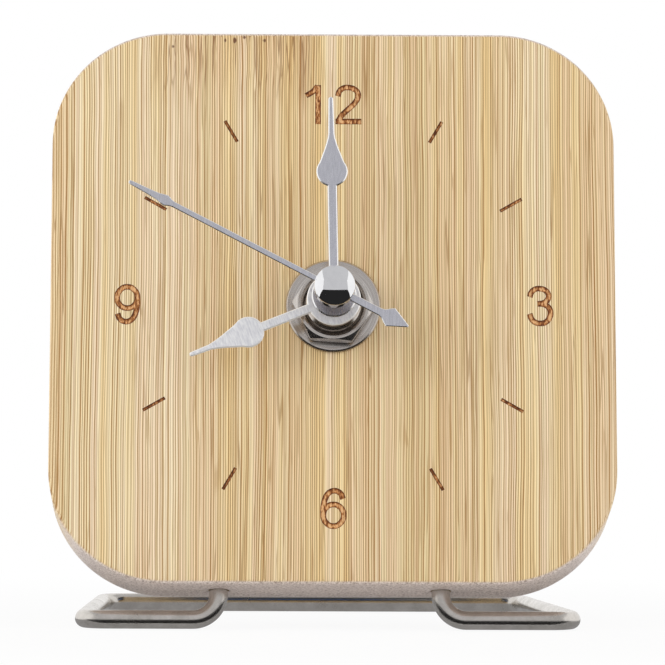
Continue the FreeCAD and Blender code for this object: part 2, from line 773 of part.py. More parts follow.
def make_train_plate():
    """Middle plate between the motion work and the going train, with the pillars of the rear plate."""
    body = new_body("train_plate", movement())
    gap = size.plate_gap
    start = size.train_plate_depth
    back = start + size.plate_thickness
    outline = face_sketch(body, start)
    rounded_rectangle(outline, -works_half_width + gap, works_half_width - gap, -size.divider_drop + gap,
                      works_top - gap, size.pocket_corner)
    pad(body, outline, size.plate_thickness)
    pillars = face_sketch(body, back)
    pillar = size.pillar_radius * 2
    circle(pillars, -pillar_side, -size.pillar_low, pillar)
    circle(pillars, pillar_side, -size.pillar_low, pillar)
    circle(pillars, pillar_side, size.pillar_right_rise, pillar)
    circle(pillars, -size.pillar_left_side, size.pillar_left_rise, pillar)
    pad(body, pillars, size.rear_plate_depth - back)
    rests = face_sketch(body, back)
    leg_half = size.stator_leg_width / 2
    circle(rests, leg_half - stator_left, size.stator_post_rise, pillar)
    circle(rests, -size.stator_right - leg_half, size.stator_post_rise, pillar)
    pad(body, rests, size.stator_depth - back)
    holes = face_sketch(body, start)
    circle(holes, ZERO, ZERO, size.minute_tube_diameter + size.running_gap * 2)
    circle(holes, setting_x, setting_z, setting_hole)
    circle(holes, third_x, third_z, pivot_hole)
    circle(holes, intermediate_x, intermediate_z, pivot_hole)
    circle(holes, rotor_x, rotor_z, pivot_hole)
    pocket(body, holes, size.plate_thickness + size.cut_overrun)


def make_rear_plate():
    """Rear plate that lies on the pillars and holds the back pivots."""
    body = new_body("rear_plate", movement())
    side = pillar_side + size.pillar_radius
    outline = face_sketch(body, size.rear_plate_depth)
    rounded_rectangle(outline, -side, side, -size.divider_drop + size.plate_gap, size.rear_plate_top,
                      size.pocket_corner)
    pad(body, outline, size.plate_thickness)
    holes = face_sketch(body, size.rear_plate_depth)
    circle(holes, ZERO, ZERO, minute_bore)
    circle(holes, setting_x, setting_z, setting_hole)
    circle(holes, third_x, third_z, pivot_hole)
    circle(holes, intermediate_x, intermediate_z, pivot_hole)
    circle(holes, rotor_x, rotor_z, pivot_hole)
    pocket(body, holes, size.plate_thickness + size.cut_overrun)


def make_stator():
    """Flat soft-iron U whose closed end surrounds the rotor."""
    body = new_body("stator", movement())
    reach = size.stator_hole_diameter / 2 + size.stator_yoke_margin
    low = rotor_z - reach
    yoke = rotor_z + reach
    top = size.coil_rise + size.stator_leg_width / 2
    left = -stator_left
    right = -size.stator_right
    leg = size.stator_leg_width
    outline = face_sketch(body, size.stator_depth)
    polygon(outline, [(left, low), (right, low), (right, top), (right - leg, top), (right - leg, yoke),
                      (left + leg, yoke), (left + leg, top), (left, top)])
    pad(body, outline, size.stator_thickness)
    hole = face_sketch(body, size.stator_depth)
    circle(hole, rotor_x, rotor_z, size.stator_hole_diameter)
    pocket(body, hole, size.stator_thickness + size.cut_overrun)


def coil_depth():
    """Depth of the middle of the core, which lies on the stator's legs."""
    return size.stator_depth + size.stator_thickness + size.core_thickness / 2


def coil_place():
    """The coil's own frame: middle of the core, with its Y axis along the core."""
    middle = -(stator_left + size.stator_right) / 2
    return at(middle, case_front + coil_depth(), size.coil_rise, ALONG_X)


def make_coil_core():
    body = new_body("coil_core", movement())
    half = size.core_width / 2
    bar = face_sketch(body, size.stator_depth + size.stator_thickness)
    rectangle(bar, -stator_left, -size.stator_right, size.coil_rise - half, size.coil_rise + half)
    pad(body, bar, size.core_thickness)


def make_coil_bobbin():
    """Moulded spool with a slot for the core."""
    body = new_body("coil_bobbin", coil_place())
    half = bobbin_length / 2
    inside = half - size.bobbin_flange_thickness
    flange = size.bobbin_flange_diameter / 2
    tube = size.bobbin_tube_diameter / 2
    revolve(body, [(ZERO, -half), (flange, -half), (flange, -inside), (tube, -inside), (tube, inside),
                   (flange, inside), (flange, half), (ZERO, half)])
    slot = face_sketch(body, -half)
    deep = size.core_thickness / 2 + size.running_gap
    high = size.core_width / 2 + size.running_gap
    rectangle(slot, -deep, deep, -high, high)
    pocket(body, slot, bobbin_length + size.cut_overrun)


def make_coil_winding():
    body = new_body("coil_winding", coil_place())
    length = bobbin_length - size.bobbin_flange_thickness * 2
    ring(body, size.winding_diameter, size.bobbin_tube_diameter, -length / 2, length)


def make_circuit_board():
    body = new_body("circuit_board", movement())
    outline = face_sketch(body, board_front)
    rounded_rectangle(outline, size.board_left, works_half_width - size.board_inset, size.board_bottom,
                      size.board_top, size.board_corner)
    pad(body, outline, size.board_thickness)


def make_timing_chip():
    body = new_body("timing_chip", movement())
    half = size.chip_side / 2
    outline = face_sketch(body, board_front + size.board_thickness)
    rounded_rectangle(outline, size.chip_across - half, size.chip_across + half, size.chip_rise - half,
                      size.chip_rise + half, size.chip_corner)
    pad(body, outline, size.chip_thickness)


def make_quartz_crystal():
    depth = board_front + size.board_thickness + size.crystal_diameter / 2
    body = new_body("quartz_crystal", at(size.crystal_across, case_front + depth, size.crystal_rise, ALONG_X))
    radius = size.crystal_diameter / 2
    half = size.crystal_length / 2
    revolve(body, [(ZERO, -half), (radius, -half), (radius, half), (ZERO, half)])


def make_battery_cell():
    """Standard AA cell, lying along the bay."""
    depth = case_front + size.bay_floor + size.cell_floor_gap + size.cell_diameter / 2
    body = new_body("battery_cell", at(y=depth, z=cell_rise, turn=ALONG_X))
    radius = size.cell_diameter / 2
    half = cell_half_length
    shoulder = half - size.cell_nub_length
    edge = size.cell_edge
    nub = size.cell_nub_diameter / 2
    revolve(body, [(ZERO, -half), (radius - edge, -half), (radius, -half + edge), (radius, shoulder - edge),
                   (radius - edge, shoulder), (nub, shoulder), (nub, half), (ZERO, half)])


def make_contact(label, side):
    """Bent spring leaf on the bay's end wall, with a tab that runs up into the works chamber."""
    body = new_body(label, movement())
    wall = works_half_width
    inner = wall - size.leaf_thickness
    crest = cell_half_length + size.leaf_cell_gap
    crest_back = crest + size.leaf_thickness
    low = cell_rise - size.leaf_half_height
    high = cell_rise + size.leaf_half_height
    leaf = face_sketch(body, size.leaf_depth)
    corners = [(wall, low), (wall, -size.leaf_tab_top), (inner, -size.leaf_tab_top), (inner, high),
               (crest, cell_rise + size.leaf_thickness), (crest, cell_rise - size.leaf_thickness),
               (crest_back, cell_rise - size.leaf_thickness), (crest_back, cell_rise),
               (inner, high - size.leaf_thickness * 2), (inner, low)]
    polygon(leaf, [(x * side, z) for x, z in corners])
    pad(body, leaf, size.leaf_width)


def make_hour_wheel():
    """Hour wheel with the long pipe that carries the hour hand through the bushing."""
    body = new_body("hour_wheel", movement())
    module = module_of(size.setting_reach, "setting_pinion", "hour_wheel")
    start = size.hour_wheel_depth
    back = start + size.hour_wheel_thickness
    tip = hand_back(size.hour_level, size.hand_thickness) - case_front
    outer = size.hour_pipe_diameter / 2
    root = root_radius(module, "hour_wheel")
    revolve(body, [(hour_bore / 2, tip), (outer, tip), (outer, start), (root, start), (root, back),
                   (hour_bore / 2, back)])
    cut_teeth(body, "hour_wheel", module, start, size.hour_wheel_thickness, PHASE_HOUR)


def make_minute_arbor():
    """Tube with the minute pinion, which also carries the centre wheel on a slipping fit."""
    body = new_body("minute_arbor", movement())
    module = module_of(size.setting_reach, "minute_pinion", "motion_wheel")
    start = size.minute_pinion_depth
    back = start + size.minute_pinion_length
    tip = hand_back(size.minute_level, size.hand_thickness) - case_front
    tail = size.centre_wheel_depth + size.centre_hub_length
    inner = minute_bore / 2
    outer = size.minute_tube_diameter / 2
    root = root_radius(module, "minute_pinion")
    revolve(body, [(inner, tip), (outer, tip), (outer, start), (root, start), (root, back), (outer, back),
                   (outer, tail), (inner, tail)])
    cut_teeth(body, "minute_pinion", module, start, size.minute_pinion_length, 0)


def make_centre_wheel():
    """Wheel that slips on the minute tube when the hands are set."""
    body = new_body("centre_wheel", movement())
    module = module_of(size.third_reach, "third_pinion", "centre_wheel")
    start = size.centre_wheel_depth
    inner = size.minute_tube_diameter / 2 + size.running_gap
    hub = size.centre_hub_diameter / 2
    root = root_radius(module, "centre_wheel")
    revolve(body, [(inner, start), (root, start), (root, start + size.wheel_thickness),
                   (hub, start + size.wheel_thickness), (hub, start + size.centre_hub_length),
                   (inner, start + size.centre_hub_length)])
    cut_teeth(body, "centre_wheel", module, start, size.wheel_thickness, PHASE_CENTRE)


def train_arbor(label, place, front, pinion, pinion_module, pinion_start, pinion_length,
                wheel, wheel_module, wheel_start, phases, back, diameter):
    """An arbor with a pinion and a wheel, turned in one piece."""
    body = new_body(label, place)
    radius = diameter / 2
    pinion_root = root_radius(pinion_module, pinion)
    wheel_root = root_radius(wheel_module, wheel)
    parts = sorted([(pinion_start, pinion_length, pinion_root), (wheel_start, size.wheel_thickness, wheel_root)],
                   key=lambda part: part[0].number)
    corners = [(ZERO, front), (radius, front)]
    for start, length, root in parts:
        corners += [(radius, start), (root, start), (root, start + length), (radius, start + length)]
    corners += [(radius, back), (ZERO, back)]
    revolve(body, corners)
    cut_teeth(body, pinion, pinion_module, pinion_start, pinion_length, phases[0])
    cut_teeth(body, wheel, wheel_module, wheel_start, size.wheel_thickness, phases[1])
    return body


def make_going_train():
    """Seconds, third and intermediate wheels, and the rotor's pinion with its magnet."""
    third_module = module_of(size.third_reach, "seconds_pinion", "third_wheel")
    centre_module = module_of(size.third_reach, "third_pinion", "centre_wheel")
    seconds_module = module_of(size.intermediate_reach, "seconds_wheel", "intermediate_pinion")
    rotor_module = module_of(size.rotor_reach, "intermediate_wheel", "rotor_pinion")
    front = hand_back(size.seconds_level, size.seconds_thickness) - case_front
    train_arbor("seconds_wheel", movement(), front, "seconds_pinion", third_module, size.seconds_pinion_depth,
                size.seconds_pinion_length, "seconds_wheel", seconds_module, size.seconds_wheel_depth, (0, 0),
                size.arbor_back_depth, size.seconds_arbor_diameter)
    train_arbor("third_wheel", movement(third_x, third_z), size.arbor_front_depth, "third_pinion", centre_module,
                size.third_pinion_depth, size.third_pinion_length, "third_wheel", third_module,
                size.third_wheel_depth, (0, PHASE_THIRD), size.arbor_back_depth, size.arbor_diameter)
    train_arbor("intermediate_wheel", movement(intermediate_x, intermediate_z), size.arbor_front_depth,
                "intermediate_pinion", seconds_module, size.intermediate_pinion_depth,
                size.intermediate_pinion_length, "intermediate_wheel", rotor_module,
                size.intermediate_wheel_depth, (PHASE_INTERMEDIATE, 0), size.arbor_back_depth, size.arbor_diameter)
    rotor = new_body("rotor_pinion", movement(rotor_x, rotor_z))
    radius = size.arbor_diameter / 2
    root = root_radius(rotor_module, "rotor_pinion")
    start = size.rotor_pinion_depth
    back = start + size.rotor_pinion_length
    revolve(rotor, [(ZERO, size.arbor_front_depth), (radius, size.arbor_front_depth), (radius, start), (root, start),
                    (root, back), (radius, back), (radius, size.arbor_back_depth), (ZERO, size.arbor_back_depth)])
    cut_teeth(rotor, "rotor_pinion", rotor_module, start, size.rotor_pinion_length, PHASE_ROTOR)
    magnet = new_body("rotor_magnet", movement(rotor_x, rotor_z))
    ring(magnet, size.magnet_diameter, size.arbor_diameter, size.magnet_depth, size.magnet_length)


def make_setting_wheel():
    """Motion wheel and its pinion on the arbor that ends in the setting knob."""
    body = new_body("setting_wheel", movement(setting_x, setting_z))
    hour_module = module_of(size.setting_reach, "setting_pinion", "hour_wheel")
    motion_module = module_of(size.setting_reach, "minute_pinion", "motion_wheel")
    radius = size.setting_arbor_diameter / 2
    pinion_root = root_radius(hour_module, "setting_pinion")
    wheel_root = root_radius(motion_module, "motion_wheel")
    pinion_back = size.setting_pinion_depth + size.setting_pinion_length
    wheel = size.motion_wheel_depth
    wheel_back = wheel + size.motion_wheel_thickness
    tail = size.case_depth + size.knob_gap + size.knob_seat_depth
    revolve(body, [(ZERO, size.setting_front_depth), (radius, size.setting_front_depth),
                   (radius, size.setting_pinion_depth), (pinion_root, size.setting_pinion_depth),
                   (pinion_root, pinion_back), (radius, pinion_back), (radius, wheel), (wheel_root, wheel),
                   (wheel_root, wheel_back), (radius, wheel_back), (radius, tail), (ZERO, tail)])
    cut_teeth(body, "setting_pinion", hour_module, size.setting_pinion_depth, size.setting_pinion_length, 0)
    cut_teeth(body, "motion_wheel", motion_module, wheel, size.motion_wheel_thickness, PHASE_MOTION)


def make_setting_knob():
    """Knob with a grooved rim, pressed on the setting arbor behind the cover."""
    body = new_body("setting_knob", movement(setting_x, setting_z))
    start = size.case_depth + size.knob_gap
    seat = start + size.knob_seat_depth
    back = start + size.knob_length
    outer = size.knob_diameter / 2
    inner = size.setting_arbor_diameter / 2 + size.seat_gap
    edge = size.knob_groove / 2
    revolve(body, [(inner, start), (outer, start), (outer, back - edge), (outer - edge, back), (ZERO, back),
                   (ZERO, seat), (inner, seat)])
    groove = face_sketch(body, start)
    circle(groove, outer, ZERO, size.knob_groove)
    polar(body, pocket(body, groove, size.knob_length + size.cut_overrun), KNOB_GROOVES)


def hand_back(level, thickness):
    """Depth of the back of a hand that stands off the bamboo by its level."""
    return thickness - level


def spade(sketch, bar, bulb, bulb_reach, neck, neck_reach, tip, length):
    """A spade blade that points up: bar, round bulb, straight flanks, curved neck and a slim point."""
    bar_half = bar / 2
    radius = bulb / 2
    turn = ANGLES["bulb_turn"]
    flank_half = radius * FLANK_WIDTH_SHARE
    flank_reach = bulb_reach + (neck_reach - bulb_reach) * FLANK_REACH_SHARE
    neck_half = neck / 2
    curve_x = neck_half + (flank_half - neck_half) * NECK_CURVE_WIDTH_SHARE
    curve_z = flank_reach + (neck_reach - flank_reach) * NECK_CURVE_REACH_SHARE
    tip_half = tip / 2
    shoulder = bulb_reach - other_leg(radius, bar_half)
    side_x = along(radius, turn)
    side_z = bulb_reach + across(radius, turn)
    draw(sketch, (-bar_half, ZERO), (bar_half, ZERO), (bar_half, shoulder),
         (radius, bulb_reach, side_x, side_z), (flank_half, flank_reach),
         (curve_x, curve_z, neck_half, neck_reach), (tip_half, length - tip_half),
         (ZERO, length, -tip_half, length - tip_half), (-neck_half, neck_reach),
         (-curve_x, curve_z, -flank_half, flank_reach), (-side_x, side_z),
         (-radius, bulb_reach, -bar_half, shoulder), (-bar_half, ZERO))


def make_spade_hand(label, turn, level, boss, seat, blade):
    """Sheet hand with a round boss that is seated on its arbor."""
    body = new_body(label, at(turn=clockwise(turn)))
    front = -level
    bar = face_sketch(body, front)
    spade(bar, *blade)
    pad(body, bar, size.hand_thickness)
    disc = face_sketch(body, front)
    circle(disc, ZERO, ZERO, boss)
    pad(body, disc, size.hand_thickness)
    hole = face_sketch(body, front)
    circle(hole, ZERO, ZERO, seat)
    pocket(body, hole, size.hand_thickness + size.cut_overrun)


def make_hand_collar(label, level, arbor):
    """Short tube under a hand, pressed on the arbor."""
    body = new_body(label, at())
    bore = arbor + size.seat_gap * 2
    ring(body, bore + size.collar_wall * 2, bore, hand_back(level, size.hand_thickness), size.collar_length)


def make_hour_and_minute_hands():
    make_spade_hand("hour_hand", ANGLES["hour_turn"], size.hour_level, size.hour_boss,
                    hour_bore,
                    (size.hour_bar, size.hour_bulb, size.hour_bulb_reach, size.hour_neck, size.hour_neck_reach,
                     size.hour_tip, size.hour_length))
    make_hand_collar("hour_hand_collar", size.hour_level, size.hour_pipe_diameter)
    make_spade_hand("minute_hand", ANGLES["minute_turn"], size.minute_level, size.minute_boss,
                    minute_bore,
                    (size.minute_bar, size.minute_bulb, size.minute_bulb_reach, size.minute_neck,
                     size.minute_neck_reach, size.minute_tip, size.minute_length))
    make_hand_collar("minute_hand_collar", size.minute_level, size.minute_tube_diameter)


def make_second_hand():
    """Slim hand with a small lozenge near its point and an arrow-shaped tail."""
    body = new_body("second_hand", at(turn=clockwise(ANGLES["seconds_turn"])))
    front = -size.seconds_level
    bar = size.seconds_bar / 2
    tail = size.tail_bar / 2
    lozenge = size.lozenge_width / 2
    point = size.seconds_point_width / 2
    inner = size.lozenge_reach - size.lozenge_half_length
    outer = size.lozenge_reach + size.lozenge_half_length
    arrow = size.arrow_width / 2
    flare = size.arrow_reach - size.tail_flare_reach
    curve_x = tail + (arrow - tail) * FLARE_CURVE_WIDTH_SHARE
    curve_z = -(size.tail_flare_reach + flare * FLARE_CURVE_REACH_SHARE)
    blade = face_sketch(body, front)
    draw(blade, (bar, ZERO), (bar, inner), (lozenge, size.lozenge_reach), (point, outer),
         (ZERO, size.seconds_length), (-point, outer), (-lozenge, size.lozenge_reach), (-bar, inner),
         (-bar, ZERO), (-tail, ZERO), (-tail, -size.tail_flare_reach),
         (-curve_x, curve_z, -arrow, -size.arrow_reach), (ZERO, -size.tail_length), (arrow, -size.arrow_reach),
         (curve_x, curve_z, tail, -size.tail_flare_reach), (tail, ZERO), (bar, ZERO))
    pad(body, blade, size.seconds_thickness)
    disc = face_sketch(body, front)
    circle(disc, ZERO, ZERO, size.seconds_hub)
    pad(body, disc, size.seconds_thickness)


def make_second_hand_sleeve():
    body = new_body("second_hand_sleeve", at())
    ring(body, size.seconds_sleeve_diameter, size.seconds_arbor_diameter + size.seat_gap * 2,
         hand_back(size.seconds_level, size.seconds_thickness), size.seconds_sleeve_length)


def make_dome_cap():
    """Polished half ball on a short skirt, pressed on the second hand."""
    body = new_body("dome_cap", at())
    base = -size.seconds_level
    centre = base - size.dome_skirt
    radius = size.dome_radius
    sketch = new_sketch(body, "XY_Plane")
    draw(sketch, (ZERO, base), (radius, base), (radius, centre),
         (across(radius, 45), centre - along(radius, 45), ZERO, centre - radius), (ZERO, base))
    revolve_sketch(body, sketch)


make_bamboo_face()
make_wire_stand()
make_dial_washer()
make_hex_nut()
make_threaded_bushing()
make_rubber_gasket()
make_movement_case()
make_movement_cover()
make_train_plate()
make_rear_plate()
make_stator()
make_coil_core()
make_coil_bobbin()
make_coil_winding()
make_circuit_board()
make_timing_chip()
make_quartz_crystal()
make_battery_cell()
make_contact("positive_contact", 1)
make_contact("negative_contact", -1)
make_hour_wheel()
make_minute_arbor()
make_centre_wheel()
make_going_train()
make_setting_wheel()
make_setting_knob()
make_hour_and_minute_hands()
make_second_hand()
make_second_hand_sleeve()
make_dome_cap()

doc.recompute()
for item in doc.Objects:
    if "Invalid" in item.State or "Error" in item.State:
        raise RuntimeError(f"{item.Name} failed: {item.State}")
for node in nodes:
    if node.Shape.isNull() or not node.Shape.isValid():
        raise RuntimeError(f"{node.Label} has no valid shape")
os.makedirs("parts", exist_ok=True)
for node in nodes:
    node.Shape.exportStep(f"parts/{node.Label}.step")
print(f"{len(nodes)} nodes written")
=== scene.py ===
# %% [markdown]
# # A bamboo desk clock on a bent wire stand
# The clock's sizes are fixed by its CAD model. This lesson dresses that model: it loads it, makes each
# visible piece again with Blender's own modelling tools, gives it the finish of the real one, and lights it.

# %% Load the CAD model
import json
import math

import bmesh
import bpy
from mathutils import Matrix, Vector


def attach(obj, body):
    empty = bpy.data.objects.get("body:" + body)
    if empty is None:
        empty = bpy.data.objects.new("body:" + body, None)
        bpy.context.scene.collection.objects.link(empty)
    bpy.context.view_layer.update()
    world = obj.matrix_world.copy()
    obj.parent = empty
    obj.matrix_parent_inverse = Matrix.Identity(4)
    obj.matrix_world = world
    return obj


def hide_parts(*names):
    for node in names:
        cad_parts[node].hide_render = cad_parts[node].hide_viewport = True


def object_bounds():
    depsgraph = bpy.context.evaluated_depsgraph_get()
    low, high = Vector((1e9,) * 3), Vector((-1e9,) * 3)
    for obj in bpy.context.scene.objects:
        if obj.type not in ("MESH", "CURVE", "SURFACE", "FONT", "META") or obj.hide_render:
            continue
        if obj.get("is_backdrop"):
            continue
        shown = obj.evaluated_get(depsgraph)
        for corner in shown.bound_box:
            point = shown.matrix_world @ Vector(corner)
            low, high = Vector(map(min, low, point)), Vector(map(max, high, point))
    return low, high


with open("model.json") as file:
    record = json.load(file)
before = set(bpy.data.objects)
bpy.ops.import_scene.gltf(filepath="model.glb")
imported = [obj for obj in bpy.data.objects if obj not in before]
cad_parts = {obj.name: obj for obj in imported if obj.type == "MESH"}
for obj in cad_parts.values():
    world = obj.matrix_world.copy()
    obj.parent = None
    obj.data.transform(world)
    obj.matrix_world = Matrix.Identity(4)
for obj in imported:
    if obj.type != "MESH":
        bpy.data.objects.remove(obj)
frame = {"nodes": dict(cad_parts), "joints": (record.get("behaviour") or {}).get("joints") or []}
cad_box = [list(corner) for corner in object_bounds()]
print("CAD box in metres:", cad_box)

# %% [markdown]
# ## The leaning head
# The board, the movement and the hands lean back together. It is easiest to model them upright about the
# shaft and lean them back at the end. A joint of the model tells where the shaft is and how it is tilted.

# %% Find the shaft and the lean
MM = 0.001
MINUTE_JOINT_DEPTH = 19
shaft_joint = next(joint for joint in frame["joints"] if joint["name"] == "minute_spin")
shaft_axis = Vector(shaft_joint["axis"])
shaft_front = Vector(shaft_joint["pos_m"]) - shaft_axis * MINUTE_JOINT_DEPTH * MM
lean_angle = math.atan2(-shaft_axis.z, shaft_axis.y)
LEAN_BACK = Matrix.Translation(shaft_front) @ Matrix.Rotation(-lean_angle, 4, "X")
STAND_UP = LEAN_BACK.inverted()
print(f"shaft at {[round(v / MM, 2) for v in shaft_front]} mm, lean {math.degrees(lean_angle):.2f} degrees")

# %% [markdown]
# ## Camera
# The photograph was taken from about 0.9 m with a long lens, nearly level with the bottom third of the dial.
# The camera's place, its turn and its lens were fitted so that the hour marks, the board's edges and the
# stand fall where they do in the photograph.

# %% Camera
CAMERA_PLACE = Vector((-13.81, -940.0, 51.28)) * MM
CAMERA_YAW, CAMERA_PITCH, CAMERA_ROLL = (math.radians(angle) for angle in (0.852, 0.056, 0.256))
CAMERA_LENS = 282.2
sight = Vector((math.sin(CAMERA_YAW) * math.cos(CAMERA_PITCH), math.cos(CAMERA_YAW) * math.cos(CAMERA_PITCH),
                math.sin(CAMERA_PITCH)))
level = Vector((math.cos(CAMERA_YAW), -math.sin(CAMERA_YAW), 0))
right = level * math.cos(CAMERA_ROLL) + level.cross(sight) * math.sin(CAMERA_ROLL)
turn = Matrix((right, right.cross(sight), -sight)).transposed()
bpy.ops.object.camera_add(location=CAMERA_PLACE, rotation=turn.to_euler())
camera = bpy.context.object
camera.data.lens = CAMERA_LENS
bpy.context.scene.camera = camera
print("camera at", [round(v, 3) for v in camera.location])

# %% [markdown]
# ## Helpers for modelling
# Every piece starts as a primitive and is shaped in edit mode. An operator acts on all that is selected, so
# everything is deselected first, and verts, edges or faces are then chosen in code by their place.


# %% Helpers for modelling
def clear_selection():
    if bpy.context.object and bpy.context.object.mode == "EDIT":
        bpy.ops.object.mode_set(mode="OBJECT")
    bpy.ops.object.select_all(action="DESELECT")


def select_only(piece):
    clear_selection()
    bpy.context.view_layer.objects.active = piece
    piece.select_set(True)


def edit(piece):
    select_only(piece)
    bpy.ops.object.mode_set(mode="EDIT")


def leave_edit():
    """Turns all faces outward and goes back to object mode."""
    bpy.ops.mesh.select_all(action="SELECT")
    bpy.ops.mesh.normals_make_consistent(inside=False)
    bpy.ops.object.mode_set(mode="OBJECT")


def new_piece(name):
    """Names the primitive that was just added and keeps its place, turn and size in its mesh."""
    piece = bpy.context.object
    piece.name = name
    bpy.ops.object.transform_apply()
    return piece


def pick(piece, kind, test):
    """Selects the verts, edges or faces whose corners pass the test. Places are in millimetres."""
    bpy.ops.mesh.select_mode(type=kind)
    bpy.ops.mesh.select_all(action="DESELECT")
    mesh = bmesh.from_edit_mesh(piece.data)
    chosen = 0
    for item in {"VERT": mesh.verts, "EDGE": mesh.edges, "FACE": mesh.faces}[kind]:
        corners = [item.co] if kind == "VERT" else [vert.co for vert in item.verts]
        if test([corner / MM for corner in corners]):
            item.select_set(True)
            chosen += 1
    bmesh.update_edit_mesh(piece.data)
    return chosen


def extrude(move):
    """Carries what is selected on by a move in millimetres, and leaves a wall behind it."""
    bpy.ops.mesh.extrude_region_move(TRANSFORM_OT_translate={"value": [step * MM for step in move]})


def widen(across, deep=1, high=1, centre=(0, 0, 0)):
    """Resizes what is selected about a centre in millimetres."""
    bpy.ops.transform.resize(value=(across, deep, high), center_override=[part * MM for part in centre])


# %% [markdown]
# Most pieces of a clock are either boxes with rounded corners, drilled or milled, or turned on a lathe. So
# there is one helper for a block, one for a drill bit, and one that carries a circle along a turned outline.


# %% Blocks, drills and turned pieces
TOUCH = 1e-3  # millimetres within which two places are the same


def block(name, low, high, corner=0, segments=1):
    """A box between two places, with the four corners that it shows from the front rounded."""
    clear_selection()
    middle = [(a + b) / 2 * MM for a, b in zip(low, high)]
    bpy.ops.mesh.primitive_cube_add(size=1, location=middle, scale=[(b - a) * MM for a, b in zip(low, high)])
    piece = new_piece(name)
    if corner:
        edit(piece)
        pick(piece, "EDGE", lambda ends: (ends[0] - ends[1]).xz.length < TOUCH)
        bpy.ops.mesh.bevel(offset=corner * MM, segments=segments, affect="EDGES")
        bpy.ops.object.mode_set(mode="OBJECT")
    return piece


def drill(radius, start, end, sides=64):
    """A cutter like a drill bit, from one place to another."""
    clear_selection()
    way = Vector(end) - Vector(start)
    bpy.ops.mesh.primitive_cylinder_add(vertices=sides, radius=radius * MM, depth=way.length * MM,
                                        location=(Vector(start) + way / 2) * MM,
                                        rotation=way.to_track_quat("Z", "Y").to_euler())
    return new_piece("drill")


def turned(name, stations, sides=96):
    """A turned piece about the shaft: a circle at the first (radius, depth), carried on to each next one. A
    radius of 0 closes on the axis."""
    clear_selection()
    smallest = 1e-4
    radius, depth = max(stations[0][0], smallest), stations[0][1]
    bpy.ops.mesh.primitive_circle_add(vertices=sides, radius=radius * MM, location=(0, depth * MM, 0),
                                      rotation=(math.pi / 2, 0, 0))
    piece = new_piece(name)
    edit(piece)
    bpy.ops.mesh.select_mode(type="VERT")
    bpy.ops.mesh.select_all(action="SELECT")
    for next_radius, next_depth in stations[1:]:
        extrude((0, next_depth - depth, 0))
        if next_radius != radius:
            share = max(next_radius, smallest) / radius
            widen(share, 1, share, centre=(0, next_depth, 0))
        radius, depth = max(next_radius, smallest), next_depth
    bpy.ops.mesh.select_all(action="SELECT")
    bpy.ops.mesh.remove_doubles(threshold=2 * smallest * MM)
    leave_edit()
    return piece


def turned_ring(name, stations, sides=96):
    """A turned piece with a hole: its outline comes back to where it began."""
    return turned(name, [*stations, stations[0]], sides)


# %% [markdown]
# Pieces are then cut or welded with Boolean operations, put in their place, and handed over: each one gets
# its finish, rides on its body of the model, and stands for its CAD node.


# %% Cutting, placing and handing over
def apply_modifier(piece, kind, **settings):
    select_only(piece)
    modifier = piece.modifiers.new(kind.title(), kind)
    for name, value in settings.items():
        setattr(modifier, name, value)
    bpy.ops.object.modifier_apply(modifier=modifier.name)


def combine(piece, operation, *others, crossing=False):
    """Cuts the others out of a piece (DIFFERENCE), welds them on (UNION) or keeps what they share
    (INTERSECT). A cutter that crosses itself needs crossing."""
    for other in others:
        apply_modifier(piece, "BOOLEAN", object=other, operation=operation, solver="EXACT", use_self=crossing)
        bpy.data.objects.remove(other, do_unlink=True)


def break_edges(piece, width, degrees, segments=2):
    """Bevels every edge that is sharper than an angle."""
    apply_modifier(piece, "BEVEL", width=width * MM, segments=segments, limit_method="ANGLE",
                   angle_limit=math.radians(degrees))


def join(first, *others):
    select_only(first)
    for other in others:
        other.select_set(True)
    bpy.ops.object.join()
    return first


def place(piece, matrix):
    """Puts a piece at its place and keeps that place in its mesh."""
    select_only(piece)
    piece.matrix_world = matrix @ piece.matrix_world
    bpy.ops.object.transform_apply()


def about_shaft(degrees):
    return Matrix.Rotation(math.radians(degrees), 4, "Y")


def finish_piece(piece, body, node, material, smooth=30, matrix=LEAN_BACK):
    """Smooths a piece, leans it back, gives it its finish, and lets it stand for its CAD node."""
    place(piece, matrix)
    bpy.ops.object.shade_smooth_by_angle(angle=math.radians(smooth))
    piece.data.materials.clear()
    piece.data.materials.append(material)
    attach(piece, body)
    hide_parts(node)
    print(f"{piece.name}: {len(piece.data.polygons)} faces, stands for {node}")


# %% [markdown]
# ## Helpers for finishes
# A finish is a small network of shader nodes. One function adds a node with its settings and links. Patterns
# are worked out in millimetres in the upright head, so a number in them is a real size.


# %% Helpers for finishes
def linear(hex_colour):
    """An sRGB colour such as "E8D4A6" as the linear colour that a shader takes."""
    parts = [int(hex_colour[i:i + 2], 16) / 255 for i in (0, 2, 4)]
    return [part / 12.92 if part <= 0.04045 else ((part + 0.055) / 1.055) ** 2.4 for part in parts] + [1]


def feed(node, values=(), named={}):
    """Fills a node's inputs: those in use, in their order, then the named ones. A value is a number, an sRGB
    colour, an output of a node, or a whole node, which then gives its first output in use."""
    pairs = list(zip([socket for socket in node.inputs if socket.enabled], values))
    for socket, value in pairs + [(node.inputs[name], value) for name, value in named.items()]:
        if isinstance(value, bpy.types.Node):
            value = next(output for output in value.outputs if output.enabled)
        if isinstance(value, bpy.types.NodeSocket):
            node.id_data.links.new(value, socket)
        else:
            socket.default_value = linear(value) if isinstance(value, str) else value


